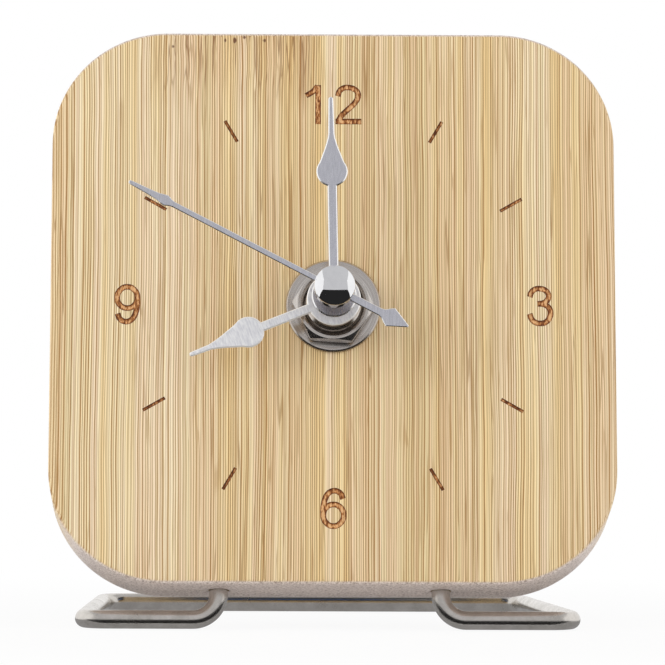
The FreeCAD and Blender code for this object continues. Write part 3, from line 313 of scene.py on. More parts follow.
def add(tree, kind, *values, named={}, stops=(), **settings):
    """Adds a shader node with its settings, its inputs and, on a colour ramp, its stops. A kind such as
    "Math ADD" gives its operation too."""
    kind, *operation = kind.split()
    node = tree.nodes.new("ShaderNode" + kind)
    if operation:
        node.operation = operation[0]
    for name, value in settings.items():
        setattr(node, name, value)
    feed(node, values, named)
    for number, (position, colour) in enumerate(stops):
        if number >= len(node.color_ramp.elements):
            node.color_ramp.elements.new(1.0)
        node.color_ramp.elements[number].position = position
        node.color_ramp.elements[number].color = linear(colour)
    return node


def new_material(name):
    """A material with its node tree and its main shader, ready for its inputs to be fed."""
    material = bpy.data.materials.new(name)
    material.use_nodes = True
    material.node_tree.nodes.clear()
    shader = add(material.node_tree, "BsdfPrincipled")
    add(material.node_tree, "OutputMaterial", shader)
    return material, material.node_tree, shader


def head_place(tree):
    """Places in the upright head, in millimetres: X across, Y behind the board's front, Z above the shaft."""
    return add(tree, "Mapping", add(tree, "TexCoord").outputs["Object"], STAND_UP.translation / MM,
               (lean_angle, 0, 0), (1 / MM,) * 3)


def stretched_noise(tree, spots, per_mm, detail=2.0, roughness=0.5, seed=0.0):
    """Noise with its own number of grains per millimetre along each axis. Each seed gives another pattern."""
    scaled = add(tree, "VectorMath MULTIPLY", spots, per_mm)
    moved = add(tree, "VectorMath ADD", scaled, (seed, seed * 0.7, seed * 1.3))
    return add(tree, "TexNoise", moved, 1.0, detail, roughness)


def off_middle(tree, value):
    """How far a value between 0 and 1 is from the middle."""
    return add(tree, "Math ABSOLUTE", add(tree, "Math SUBTRACT", value, 0.5))


# %% [markdown]
# ## Bamboo
# The board is side-pressed bamboo: slats stood on edge and glued, so the face shows hundreds of fine upright
# fibre lines, from cream to tan, with a few darker ones. The patterns are stretched a hundred times along the
# grain. A growth node crosses the upper left corner, where the fibres swerve and turn brown.


# %% Grain of the bamboo
KNOT_ASIDE = 17.5  # millimetres from the middle of the dial
STRANDS = ((0.43, 1.0, "AC8045"), (0.97, 0.40, "B48A50"))  # width, share, tone
LINES = ((1.5, 0.026, 5.0, 0.60, "A27A42"),  # grains per mm, width, seed, share, tone
         (2.6, 0.045, 19.0, 0.45, "B48D54"))
NOTCHES = ((-19.4, 49.2, 0.16), (-17.6, 49.2, 0.24), (-15.9, 49.8, 0.18), (-12.4, 49.2, 0.22),
           (-28.6, 48.0, 0.12))  # across, height, size


def knot_share(tree, spots):
    """1 in the growth node, 0 away from it."""
    across, _, high = add(tree, "SeparateXYZ", spots).outputs
    aside = add(tree, "Math ABSOLUTE", add(tree, "Math ADD", across, KNOT_ASIDE))
    beside = add(tree, "MapRange", aside, 16.0, 12.0, interpolation_type="SMOOTHSTEP")
    above = add(tree, "MapRange", high, 34.0, 48.0, interpolation_type="SMOOTHSTEP")
    return add(tree, "Math MULTIPLY", beside, above)


def fibre_places(tree, spots, knot):
    """Places that follow the fibres, which sway a little and swerve in the growth node."""
    swerve = stretched_noise(tree, spots, (0.22, 0.22, 0.09), seed=11.0)
    swerve = add(tree, "Math SUBTRACT", swerve, 0.5)
    push = add(tree, "Math MULTIPLY", swerve, add(tree, "Math MULTIPLY", knot, 0.55))
    sway = stretched_noise(tree, spots, (0.05, 0.05, 0.02), seed=4.0)
    drift = add(tree, "Math ADD", add(tree, "Math SUBTRACT", sway, 0.5), push)
    return add(tree, "VectorMath ADD", spots, add(tree, "CombineXYZ", drift, drift))


def with_strands(tree, grain, colour):
    """Hard strands side by side, each with a darkness of its own that fades in and out along it."""
    across, deep, _ = add(tree, "SeparateXYZ", grain).outputs
    jitter = stretched_noise(tree, grain, (0.9, 0.9, 0.010), detail=1.0, seed=33.0)
    march = add(tree, "Math MULTIPLY_ADD", jitter, 0.55, add(tree, "Math MULTIPLY_ADD", deep, 0.4, across))
    fade = stretched_noise(tree, grain, (1.3, 1.3, 0.020), detail=1.0, seed=15.0)
    for width, share, tone in STRANDS:
        count = add(tree, "Math MULTIPLY", march, 1 / width)
        chance = add(tree, "TexWhiteNoise", add(tree, "Math FLOOR", count), noise_dimensions="1D")
        weight = add(tree, "Math MULTIPLY_ADD", fade, 0.6, add(tree, "Math MULTIPLY", chance, 0.75))
        dark = add(tree, "MapRange", off_middle(tree, add(tree, "Math FRACT", count)), 0.24, 0.20)
        strand = add(tree, "Math MULTIPLY", dark, add(tree, "Math MULTIPLY", weight, share))
        colour = add(tree, "Mix", strand, colour, tone, data_type="RGBA")
    return colour, strand


def with_lines(tree, grain, slats, colour):
    """A few darker lines as thin as a pen's, stronger in the darker slats, and the slats' own tones."""
    strong = add(tree, "MapRange", slats, 0.62, 0.40, 0.50, 1.0)
    for per_mm, width, seed, share, tone in LINES:
        lines = stretched_noise(tree, grain, (per_mm, per_mm, per_mm / 110), detail=0.0, seed=seed)
        on_line = add(tree, "MapRange", off_middle(tree, lines), width, width * 0.35, 0.0, share)
        colour = add(tree, "Mix", add(tree, "Math MULTIPLY", on_line, strong), colour, tone, data_type="RGBA")
    slat = add(tree, "ValToRGB", slats, stops=((0.38, "F0E2C4"), (0.58, "FFFFFF")))
    return add(tree, "Mix", 0.55, colour, slat, data_type="RGBA", blend_type="MULTIPLY")


def with_knot(tree, spots, grain, fine, knot, colour):
    """Brown streaks and small dark notches where the growth node crosses the board."""
    streaks = stretched_noise(tree, grain, (1.0, 1.0, 0.035), detail=1.0, seed=21.0)
    streak = add(tree, "MapRange", off_middle(tree, streaks), 0.028, 0.0)
    streak = add(tree, "Math MULTIPLY", streak, add(tree, "Math MULTIPLY", knot, 0.85))
    colour = add(tree, "Mix", streak, colour, "8E6436", data_type="RGBA")
    colour = add(tree, "Mix", add(tree, "Math MULTIPLY", knot, 0.25), colour, "E3C59C",
                 data_type="RGBA", blend_type="MULTIPLY")
    flat = add(tree, "VectorMath MULTIPLY", spots, (1.0, 0.0, 0.7))
    for x, z, size in NOTCHES:
        away = add(tree, "VectorMath DISTANCE", flat, (x, 0.0, z * 0.7))
        ragged = add(tree, "Math MULTIPLY_ADD", fine, 0.6, away)
        notch = add(tree, "MapRange", ragged, size + 0.42, size + 0.28, 0.0, 0.9)
        colour = add(tree, "Mix", notch, colour, "64371A", data_type="RGBA")
    return colour


# %% [markdown]
# The ends of the fibres, on the top and the lower edge, are speckled with pores; their cool grey tint is a
# painted reflection, made lighter to stand in for light that the lower edge lacks. The numerals and strokes
# are shallow grooves that a laser scorched, so their colour follows the depth: darkest along the walls, partly
# char and partly painted shade of the walls, lighter and patchy on the floor.


# %% The finished bamboo
SCORCH_REACH = 45.0


def with_end_grain_and_painted_reflection(tree, spots, colour):
    """The cut ends of the fibres, where a surface faces up or down along the head, in a cool grey that is a
    painted reflection.
    """
    upward = STAND_UP.to_3x3().inverted() @ Vector((0, 0, 1))
    facing = add(tree, "VectorMath DOT_PRODUCT", add(tree, "TexCoord").outputs["Normal"], upward)
    share = add(tree, "MapRange", add(tree, "Math ABSOLUTE", facing), 0.25, 0.75,
                interpolation_type="SMOOTHSTEP")
    pores = stretched_noise(tree, spots, (2.4, 2.4, 2.4), detail=3.0, roughness=0.7, seed=31.0)
    # painted reflection: the cool grey end-grain tint, made lighter to make up for the shade on the lower edge
    ends = add(tree, "ValToRGB", pores, stops=((0.36, "A8958B"), (0.50, "DDCDC4"), (0.64, "F3E8E0")))
    return add(tree, "Mix", share, colour, ends, data_type="RGBA")


def with_scorch(tree, spots, strand, colour):
    """Burnt tones on whatever lies just under the face, darkest along the groove walls as char and painted
    shade, and how far each place is scorched.
    """
    across, deep, high = add(tree, "SeparateXYZ", spots).outputs
    inside = add(tree, "MapRange", deep, 0.015, 0.05)
    shallow = add(tree, "Math LESS_THAN", deep, 0.5)
    on_face = add(tree, "CombineXYZ", across, 0.0, add(tree, "Math SUBTRACT", high, 0.6))
    near = add(tree, "Math LESS_THAN", add(tree, "VectorMath LENGTH", on_face), SCORCH_REACH)
    scorched = add(tree, "Math MULTIPLY", add(tree, "Math MULTIPLY", inside, shallow), near)
    patches = stretched_noise(tree, spots, (2.6, 2.6, 0.8), detail=3.0, roughness=0.7, seed=17.0)
    patches = add(tree, "Math SUBTRACT", patches, 0.5)
    floor_depth = add(tree, "Math MULTIPLY_ADD", patches, 0.62, deep)
    # painted shade with char: shallow places along the groove walls take the darkest tones, the floor lighter
    # ones
    burnt_and_painted_wall_shade = add(tree, "ValToRGB", add(tree, "Math MULTIPLY", floor_depth, 2.0),
                stops=((0.30, "5E2E0E"), (0.43, "8C4E1E"), (0.53, "C68448"), (0.63, "F0BE86")))
    charred = add(tree, "Mix", add(tree, "Math MULTIPLY", strand, 0.5), burnt_and_painted_wall_shade, "74461C", data_type="RGBA")
    return add(tree, "Mix", scorched, colour, charred, data_type="RGBA"), scorched


def bamboo_finish():
    """Clear-lacquered bamboo, planed and sanded: warm cream with tan fibre lines, satin, with a faint ripple
    of hard fibres, and dull where it is scorched."""
    material, tree, shader = new_material("side-pressed bamboo")
    spots = head_place(tree)
    knot = knot_share(tree, spots)
    grain = fibre_places(tree, spots, knot)
    hue = stretched_noise(tree, grain, (0.42, 0.42, 0.003), seed=9.0)
    slats = stretched_noise(tree, grain, (0.14, 0.14, 0.003), detail=1.0, seed=2.0)
    fine = stretched_noise(tree, grain, (3.4, 3.4, 0.030), detail=1.0, roughness=0.6, seed=3.0)
    colour = add(tree, "ValToRGB", hue, stops=(
        (0.34, "FCE4B0"), (0.43, "FEECC0"), (0.50, "FFEECA"), (0.57, "FEE8C8"), (0.66, "F8EAC2")))
    colour, strand = with_strands(tree, grain, colour)
    colour = with_lines(tree, grain, slats, colour)
    colour = with_knot(tree, spots, grain, fine, knot, colour)
    colour = with_end_grain_and_painted_reflection(tree, spots, colour)
    colour, scorched = with_scorch(tree, spots, strand, colour)
    gloss = add(tree, "MapRange", fine, 0.3, 0.7, 0.50, 0.40)
    ripple = add(tree, "Bump", named={"Strength": 0.25, "Distance": 0.03 * MM, "Height": fine})
    feed(shader, named={"Base Color": colour, "Normal": ripple,
                        "Roughness": add(tree, "Math MULTIPLY_ADD", scorched, 0.35, gloss)})
    return material


bamboo = bamboo_finish()
print("finish:", bamboo.name)

# %% [markdown]
# ## Metals
# Three bright metals meet on the dial. The hands are stamped from brushed aluminium sheet, the dome is chrome
# plate, which mirrors the room, and the washer, the nut and the bushing are nickel plate over turned steel.
# The stand is a bright drawn steel rod.


# %% Metals
def metal_finish(name, dark, light, roughness, per_mm, spread, bump=0.0, turned_marks=False,
                 painted_edge_highlight=False, lay=0.0, metallic=1.0):
    """A bare or plated metal whose tint and gloss vary along its tool marks. Turned marks run round the
    shaft. A painted edge highlight colours the sloped edges and sides white, where the flat of the sheet is
    brushed."""
    material, tree, shader = new_material(name)
    spots = head_place(tree)
    if turned_marks:
        across, deep, high = add(tree, "SeparateXYZ", spots).outputs
        radius = add(tree, "VectorMath LENGTH", add(tree, "CombineXYZ", across, 0.0, high))
        spots = add(tree, "CombineXYZ", radius, deep)
    if lay:
        spots = add(tree, "VectorRotate", spots, (0, 0, 0), math.radians(lay), rotation_type="Y_AXIS")
    marks = stretched_noise(tree, spots, per_mm, detail=3.0, roughness=0.65, seed=13.0)
    colour = add(tree, "ValToRGB", marks, stops=((0.30, dark), (0.70, light)))
    # painted highlight: every face that doesn't face along the shaft, the edges and sides, is coloured white
    if painted_edge_highlight:
        facing = add(tree, "VectorMath DOT_PRODUCT", add(tree, "TexCoord").outputs["Normal"], shaft_axis)
        edge = add(tree, "Math LESS_THAN", add(tree, "Math ABSOLUTE", facing), 0.9)
        colour = add(tree, "Mix", edge, colour, "FFFFFF", data_type="RGBA")
    gloss = add(tree, "MapRange", marks, 0.3, 0.7, roughness + spread, roughness - spread)
    feed(shader, named={"Base Color": colour, "Roughness": gloss, "Metallic": metallic})
    if bump:
        lines = add(tree, "Bump", named={"Strength": 0.3, "Distance": bump * MM, "Height": marks})
        feed(shader, named={"Normal": lines})
    return material


# Pale satin grey with fine lines up the dial, drawn coarse enough to show, and a white rim that is a painted
# highlight.
brushed_aluminium = metal_finish("brushed aluminium sheet", "CDCDD5", "E2E2E9", 0.28, (5.0, 5.0, 0.5), 0.05,
                                 0.002, painted_edge_highlight=True)
# Its lines run across the blade. Its base is painted whiter and half metallic: a painted highlight for the
# light that these lines catch from the room's white sides.
cross_brushed_aluminium_painted_lighter = metal_finish("cross-brushed aluminium sheet painted lighter", "DCDCE2", "FFFFFF", 0.44,
                                       (3.2, 3.2, 0.6), 0.05, 0.003, painted_edge_highlight=True, lay=20.0, metallic=0.5)
# A mirror, with only a breath of unevenness.
chrome = metal_finish("chrome plate", "ECECEE", "F4F4F5", 0.05, (0.4, 0.4, 0.4), 0.02)
# A slightly yellow grey shine with turning marks.
nickel = metal_finish("nickel plate over turned steel", "B6ADA5", "E0DBD6", 0.22, (4.5, 4.5, 1.0), 0.05,
                      0.001, turned_marks=True)
# A warm grey shine with a few dull patches.
drawn_steel = metal_finish("drawn bright steel rod", "C4BFB8", "DCD7D1", 0.24, (0.3, 0.3, 0.3), 0.04, 0.001)
print("finishes:", brushed_aluminium.name, chrome.name, nickel.name, drawn_steel.name, sep="; ")

# %% [markdown]
# ## Plastics, rubber and the rest
# The movement is moulded, with a rubber gasket before it and a circuit board, a crystal and a motor inside.
# None of these is a single flat colour.


# %% Plastics, rubber and the rest
def moulded_finish(name, dark, light, roughness, grain, bump, coat=0.0, metallic=0.0, subsurface=0.0):
    """A moulded, coated or sintered surface with a fine grain of its own."""
    material, tree, shader = new_material(name)
    spots = head_place(tree)
    fine = stretched_noise(tree, spots, (grain,) * 3, seed=8.0)
    cloud = stretched_noise(tree, spots, (0.12,) * 3, seed=6.0)
    mixed = add(tree, "Math MULTIPLY_ADD", fine, 0.5, add(tree, "Math MULTIPLY", cloud, 0.5))
    tint = add(tree, "ValToRGB", mixed, stops=((0.35, dark), (0.65, light)))
    gloss = add(tree, "MapRange", cloud, 0.3, 0.7, roughness + 0.06, roughness - 0.04)
    pits = add(tree, "Bump", named={"Strength": 0.4, "Distance": bump * MM, "Height": fine})
    feed(shader, named={"Base Color": tint, "Roughness": gloss, "Normal": pits, "Coat Weight": coat,
                        "Metallic": metallic, "Subsurface Weight": subsurface, "Subsurface Scale": 0.4 * MM})
    return material


# Black with a matt grain that scatters the light.
black_abs = moulded_finish("spark-textured black ABS", "1B1B1D", "252527", 0.55, 5.0, 0.02)
# A smoother black, polished a little by fingers.
knob_abs = moulded_finish("moulded black ABS knob", "202022", "2B2B2D", 0.42, 5.0, 0.01)
# A dead, sooty black.
gasket_rubber = moulded_finish("cut black rubber sheet", "141414", "1D1D1D", 0.80, 3.0, 0.03)
# Milky white that lets a little light in.
acetal = moulded_finish("moulded natural acetal", "DAD6C8", "E8E4D8", 0.40, 4.0, 0.005, subsurface=0.05)
# A plain, slightly grey white.
white_abs = moulded_finish("moulded white ABS", "CFCECA", "DDDCD8", 0.48, 4.0, 0.01)
# Dull grey metal with a rolled skin.
soft_iron = moulded_finish("stamped soft iron", "6E6D6C", "8C8B89", 0.42, 3.0, 0.008, metallic=1.0)
# A quiet blue with a soft shine.
blue_nylon = moulded_finish("moulded blue nylon", "2E4670", "3B5684", 0.45, 4.0, 0.01)
# Dark grey stone-like grain.
ferrite = moulded_finish("sintered ferrite", "3A3A3D", "4B4B4F", 0.60, 6.0, 0.02)
# Glossy green with the weave's faint unevenness.
solder_mask = moulded_finish("green solder mask on glass cloth", "1E5A38", "2C7048", 0.30, 2.5, 0.01, coat=0.3)
# A black drop with a wet shine.
potting_resin = moulded_finish("black potting resin", "121214", "1D1D20", 0.25, 1.2, 0.05, coat=0.4)
# A soft tin-grey shine.
tinned_can = metal_finish("tinned crystal can", "B4B4B6", "D2D2D4", 0.24, (2.0, 2.0, 2.0), 0.06)
# Yellow metal with marks round the shaft.
turned_brass = metal_finish("turned brass", "B08C46", "D0AE66", 0.26, (4.0, 4.0, 1.0), 0.06, 0.003,
                            turned_marks=True)
# A bright strip with rolling lines along it.
spring_steel = metal_finish("nickel-plated spring steel", "A9A8A3", "CBCAC4", 0.28, (3.0, 1.0, 3.0), 0.08,
                            0.004)


# %% [markdown]
# The copper coil shows its turns side by side, so its pattern runs round the coil: fine ridges one wire
# apart. The cell's jacket is glossy film, with a silver band at one end and bare steel at both caps.


# %% Coil and cell
SHOWN_WIRE = 0.3  # three times the real wire, so that it shows
SILVER_FROM, BARE_FROM = 12.5, 24.1


def winding_finish():
    """Enamelled copper wire: red-brown ridges, with a painted highlight along each crest and painted shade
    between the turns.
    """
    material, tree, shader = new_material("enamelled copper wire")
    spots = head_place(tree)
    wobble = stretched_noise(tree, spots, (0.6, 0.6, 0.6), seed=2.0)
    run = add(tree, "Math MULTIPLY_ADD", wobble, 0.5, add(tree, "SeparateXYZ", spots).outputs[0])
    turns = add(tree, "Math SINE", add(tree, "Math MULTIPLY", run, math.tau / SHOWN_WIRE))
    # painted highlight and shade: the colour is dark between the turns and bright on each crest
    tint = add(tree, "ValToRGB", add(tree, "Math MULTIPLY_ADD", turns, 0.5, 0.5),
               stops=((0.0, "5E2A12"), (0.55, "B4622F"), (1.0, "D88B4E")))
    ridges = add(tree, "Bump", named={"Strength": 0.6, "Distance": 0.05 * MM, "Height": turns})
    feed(shader, named={"Base Color": tint, "Metallic": 1.0, "Roughness": 0.32, "Normal": ridges})
    return material


def cell_finish():
    """A steel can in a plain film jacket: glossy blue, with a silver end and bare caps."""
    material, tree, shader = new_material("film jacket on a steel can")
    spots = head_place(tree)
    across = add(tree, "SeparateXYZ", spots).outputs[0]
    fleck = stretched_noise(tree, spots, (0.5, 3.0, 3.0), seed=5.0)
    blue = add(tree, "ValToRGB", fleck, stops=((0.3, "1F4C86"), (0.7, "2A5C9A")))
    silver = add(tree, "ValToRGB", fleck, stops=((0.3, "A9ABAE"), (0.7, "C6C7CA")))
    silver_end = add(tree, "Math GREATER_THAN", across, SILVER_FROM)
    colour = add(tree, "Mix", silver_end, blue, silver, data_type="RGBA")
    bare = add(tree, "Math GREATER_THAN", add(tree, "Math ABSOLUTE", across), BARE_FROM)
    colour = add(tree, "Mix", bare, colour, "C9C7C1", data_type="RGBA")
    shine = add(tree, "Math MAXIMUM", bare, add(tree, "Math MULTIPLY", silver_end, 0.8))
    film = add(tree, "Bump", named={"Strength": 0.2, "Distance": 0.02 * MM, "Height": fleck})
    feed(shader, named={"Base Color": colour, "Metallic": shine, "Roughness": 0.30, "Coat Weight": 0.4,
                        "Normal": film})
    return material


copper_wire = winding_finish()
cell_jacket = cell_finish()

# %% [markdown]
# ## The inner movement
# The plates, wheels, coil and circuit board keep the shapes of the CAD model, because the case hides them.
# Each gets its own finish.

# %% Dress the inner movement
INNER_FINISHES = {
    "train_plate": white_abs, "rear_plate": white_abs, "stator": soft_iron, "coil_core": soft_iron,
    "coil_bobbin": blue_nylon, "coil_winding": copper_wire, "circuit_board": solder_mask,
    "timing_chip": potting_resin, "quartz_crystal": tinned_can, "hour_wheel": acetal,
    "minute_arbor": turned_brass, "centre_wheel": acetal, "third_wheel": acetal, "seconds_wheel": acetal,
    "intermediate_wheel": acetal, "rotor_pinion": acetal, "rotor_magnet": ferrite, "setting_wheel": acetal,
    "second_hand_sleeve": nickel,
}
for name, material in INNER_FINISHES.items():
    piece = frame["nodes"][name]
    piece.data.materials.clear()
    piece.data.materials.append(material)
print("dressed:", len(INNER_FINISHES), "inner nodes")

# %% [markdown]
# ## The bamboo board
# A square board 14 mm thick with corners rounded to 20.5 mm. A cube is stretched to the board's size, its
# four upright corners are bevelled wide, and the rims at the front and the back are eased with a small bevel,
# as a hand sander leaves them. The shaft hole goes right through, and two blind holes in the lower edge take
# the legs of the stand.

# %% Shape and drill the board
BOARD_HALF, BOARD_THICK = 50, 14.0
SHAFT_HEIGHT = 49.4
BOARD_MIDDLE = BOARD_THICK / 2
LEFT_LEG, RIGHT_LEG = -20.0, 19.1
SHAFT_HOLE, LEG_HOLE = 5.1, 1.85
LEG_HOLE_TOP, BELOW_BOARD = -33.9, -52
board = block("bamboo_board", (-BOARD_HALF, 0, -SHAFT_HEIGHT),
              (BOARD_HALF, BOARD_THICK, 2 * BOARD_HALF - SHAFT_HEIGHT), corner=20.5, segments=32)
edit(board)
rims = pick(board, "EDGE", lambda ends: abs(ends[0].y - ends[1].y) < TOUCH)
bpy.ops.mesh.bevel(offset=0.82 * MM, segments=5, affect="EDGES", clamp_overlap=False)
bpy.ops.object.mode_set(mode="OBJECT")
print("eased rim edges:", rims)
combine(board, "DIFFERENCE", drill(SHAFT_HOLE, (0, -2, 0), (0, BOARD_THICK + 2, 0)))
for leg in (LEFT_LEG, RIGHT_LEG):
    leg_drill = drill(LEG_HOLE, (leg, BOARD_MIDDLE, BELOW_BOARD), (leg, BOARD_MIDDLE, LEG_HOLE_TOP))
    combine(board, "DIFFERENCE", leg_drill)

# %% [markdown]
# ## Scorched strokes
# The laser leaves a shallow round-bottomed groove, so each stroke's cutter is a flattened rod that is half
# sunk in the surface. The cutters are taken away from the board one after the other.


# %% Strokes at the hours
def groove_cutter(points, width, deep, closed=False):
    """A rod along a smooth line on the board's face, pressed flat to the groove's depth."""
    line = bpy.data.curves.new("groove", "CURVE")
    line.dimensions = "3D"
    line.bevel_depth = width / 2 * MM
    line.bevel_resolution = 3
    line.use_fill_caps = True
    spline = line.splines.new("BEZIER")
    spline.bezier_points.add(len(points) - 1)
    spline.use_cyclic_u = closed
    straight = len(points) == 2
    spline.resolution_u = 1 if straight else 8
    for point, (x, z) in zip(spline.bezier_points, points):
        point.co = (x * MM, 0, z * MM)
        point.handle_left_type = point.handle_right_type = "VECTOR" if straight else "AUTO"
    rod = bpy.data.objects.new("groove", line)
    bpy.context.collection.objects.link(rod)
    select_only(rod)
    bpy.ops.object.convert(target="MESH")
    widen(1, 2 * deep / width, 1)
    return new_piece("groove")


DIAL_RISE = 0.8
STROKE_REACH = (34.2, 38.65)
STROKE_WIDE, STROKE_DEEP = 0.62, 0.24
HOUR_MARKS = (1, 2, 4, 5, 7, 8, 10, 11)
for hour in HOUR_MARKS:
    angle = math.radians(hour * 30)
    ends = [(reach * math.sin(angle), DIAL_RISE + reach * math.cos(angle)) for reach in STROKE_REACH]
    combine(board, "DIFFERENCE", groove_cutter(ends, STROKE_WIDE, STROKE_DEEP))
print("strokes:", len(HOUR_MARKS))

# %% [markdown]
# The numerals are plain upright figures 7 mm high. Each is drawn as two strokes, the way a pen would go,
# through a few points about the figure's own middle. The nine is the six upside down.

# %% Numerals
FIGURE_WIDER, FIGURE_TALLER = 1.02, 1.045
PEN_WIDE, FIRST_DEEP, SECOND_DEEP = 1.08, 0.30, 0.28
FIGURE_ONE = ([(0.86, -3.5), (0.86, 3.42)], [(-1.25, 1.55), (-0.5, 1.95), (0.25, 2.55), (0.80, 3.25)])
FIGURE_TWO = ([(-1.78, 1.45), (-1.52, 2.35), (-0.85, 2.90), (0.0, 3.02), (0.95, 2.80), (1.65, 2.15),
               (1.72, 1.35), (1.35, 0.55), (0.55, -0.35), (-0.55, -1.35), (-1.35, -2.25), (-1.72, -3.0)],
              [(-2.2, -3.0), (2.32, -3.0)])
FIGURE_THREE = ([(-1.78, 1.55), (-1.45, 2.45), (-0.75, 2.95), (0.0, 3.02), (0.9, 2.75), (1.42, 2.05),
                 (1.40, 1.30), (0.95, 0.72), (0.25, 0.45), (-0.45, 0.38)],
                [(-0.2, 0.38), (0.75, 0.25), (1.55, -0.35), (1.80, -1.25), (1.50, -2.25), (0.85, -2.85),
                 (0.0, -3.02), (-0.9, -2.82), (-1.5, -2.25), (-1.82, -1.35)])
FIGURE_SIX = ([(-1.74, -1.15), (-1.25, 0.15), (0.0, 0.68), (1.25, 0.15), (1.74, -1.15), (1.25, -2.45),
               (0.0, -3.02), (-1.25, -2.45)],
              [(-1.74, -1.25), (-1.72, 0.2), (-1.45, 1.55), (-0.85, 2.60), (0.0, 3.02), (0.8, 2.88),
               (1.35, 2.40), (1.65, 1.62)])
FIGURES = [(FIGURE_ONE, -3.62, 37.4, 1), (FIGURE_TWO, 2.62, 37.4, 1), (FIGURE_THREE, 36.6, 0.62, 1),
           (FIGURE_SIX, 0.07, -36.0, 1), (FIGURE_SIX, -36.4, 0.62, -1)]
for figure, x, z, side in FIGURES:
    faces_before = len(board.data.polygons)
    first, second = ([(side * a * FIGURE_WIDER + x, side * b * FIGURE_TALLER + z) for a, b in stroke]
                     for stroke in figure)
    first_groove = groove_cutter(first, PEN_WIDE, FIRST_DEEP, closed=figure is FIGURE_SIX)
    second_groove = groove_cutter(second, PEN_WIDE, SECOND_DEEP)
    combine(board, "DIFFERENCE", join(first_groove, second_groove), crossing=True)
    print(f"figure at {x}, {z}: {len(board.data.polygons) - faces_before} new faces")
finish_piece(board, "clock", "bamboo_face", bamboo)

# %% [markdown]
# ## The wire stand
# One steel rod, 3.3 mm thick, bent six times: a leg, the front run, a side, the back run, a side, the front
# run and the other leg. A circle is extruded along each straight and spun round the centre of each bend, as a
# bending jig does it, so every bend has the same round section.

# %% Bend the rod
WIRE, WIRE_SIDES, WIRE_HEIGHT = 3.29, 32, 1.65
FRONT_RUN, BACK_RUN = -24.107, 35.893
LEG_TOP = (-19.563, 21.333)
BENDS = (4.5, 4.2, 4.2, 4.2, 4.2, 4.5)
FLAT_CORNERS = [(LEFT_LEG, FRONT_RUN), (-43.85, FRONT_RUN), (-41.85, BACK_RUN), (36.05, BACK_RUN),
                (42.75, FRONT_RUN), (RIGHT_LEG, FRONT_RUN)]
corners = [Vector(spot) for spot in [(LEFT_LEG, *LEG_TOP), *((x, y, WIRE_HEIGHT) for x, y in FLAT_CORNERS),
                                     (RIGHT_LEG, *LEG_TOP)]]
clear_selection()
bpy.ops.mesh.primitive_circle_add(vertices=WIRE_SIDES, radius=WIRE / 2 * MM, location=corners[0] * MM,
                                  rotation=(corners[1] - corners[0]).to_track_quat("Z", "Y").to_euler())
rod = new_piece("bent_rod")
edit(rod)
bpy.ops.mesh.select_all(action="SELECT")
bpy.ops.mesh.edge_face_add()
here = corners[0]
for before, corner, after, bend in zip(corners, corners[1:], corners[2:], BENDS):
    into, out = (corner - before).normalized(), (after - corner).normalized()
    swing = into.angle(out)
    entry = corner - into * bend * math.tan(swing / 2)
    axis = into.cross(out).normalized()
    extrude(entry - here)
    bpy.ops.mesh.spin(steps=max(4, round(math.degrees(swing) / 6)), angle=-swing,
                      center=(entry + axis.cross(into) * bend) * MM, axis=axis)
    here = corner + out * bend * math.tan(swing / 2)
    end = [vert.co for vert in bmesh.from_edit_mesh(rod.data).verts if vert.select]
    miss = sum(end, Vector()) / len(end) / MM - here
    print(f"bend of {math.degrees(swing):.0f} degrees ends {miss.length:.3f} mm from its mark")
extrude(corners[-1] - here)
bpy.ops.mesh.select_all(action="SELECT")
bpy.ops.mesh.remove_doubles(threshold=1e-7)
leave_edit()
finish_piece(rod, "clock", "wire_stand", drawn_steel, matrix=Matrix.Identity(4))

# %% [markdown]
# ## Washer, nut and bushing
# The movement is clamped to the board by a threaded bushing, a washer and a thin hexagon nut. All but the nut
# are turned parts, so each is a circle carried from one radius and depth to the next. Depths are counted
# backwards from the board's face, so what stands in front of it has a negative depth.

# %% Washer, bushing and gasket
WASHER_RISE = 0.35
washer = turned_ring("dial_washer_turned", [
    (5.3, -0.05), (5.3, -0.7), (5.4, -0.8), (8.08, -0.8), (8.38, -0.54), (8.4, -0.5), (8.4, -0.04),
    (8.3, 0.0), (5.35, 0.0)], sides=128)
place(washer, Matrix.Translation((0, 0, WASHER_RISE * MM)))
finish_piece(washer, "clock", "dial_washer", nickel)

THREAD_RIDGES, THREAD_PITCH, THREAD_START = 7, 0.75, -4.1
CREST, ROOT = 4.88, 4.62
thread = [(2.6, -4.6), (4.4, -4.6)]
for ridge in range(THREAD_RIDGES):
    start = THREAD_START + ridge * THREAD_PITCH
    thread += [(CREST, start + 0.04), (CREST, start + 0.12), (ROOT, start + 0.36), (ROOT, start + 0.42)]
thread += [(CREST, 1.25), (CREST, 16.0), (6.6, 16.0), (6.6, 16.6), (2.6, 16.6)]
bushing = turned_ring("threaded_bushing_turned", thread)
finish_piece(bushing, "clock", "threaded_bushing", nickel, smooth=20)

gasket = turned_ring("gasket_ring", [
    (5.1, 14.0), (11.9, 14.0), (12.0, 14.1), (12.0, 14.9), (11.9, 15.0), (5.1, 15.0)])
finish_piece(gasket, "clock", "rubber_gasket", gasket_rubber)

# %% [markdown]
# The nut is a cylinder with six sides. Its chamfers are made as on a lathe: the hexagon is intersected with a
# turned double cone, which leaves the six curved arcs that every real nut has, and its bore is countersunk.

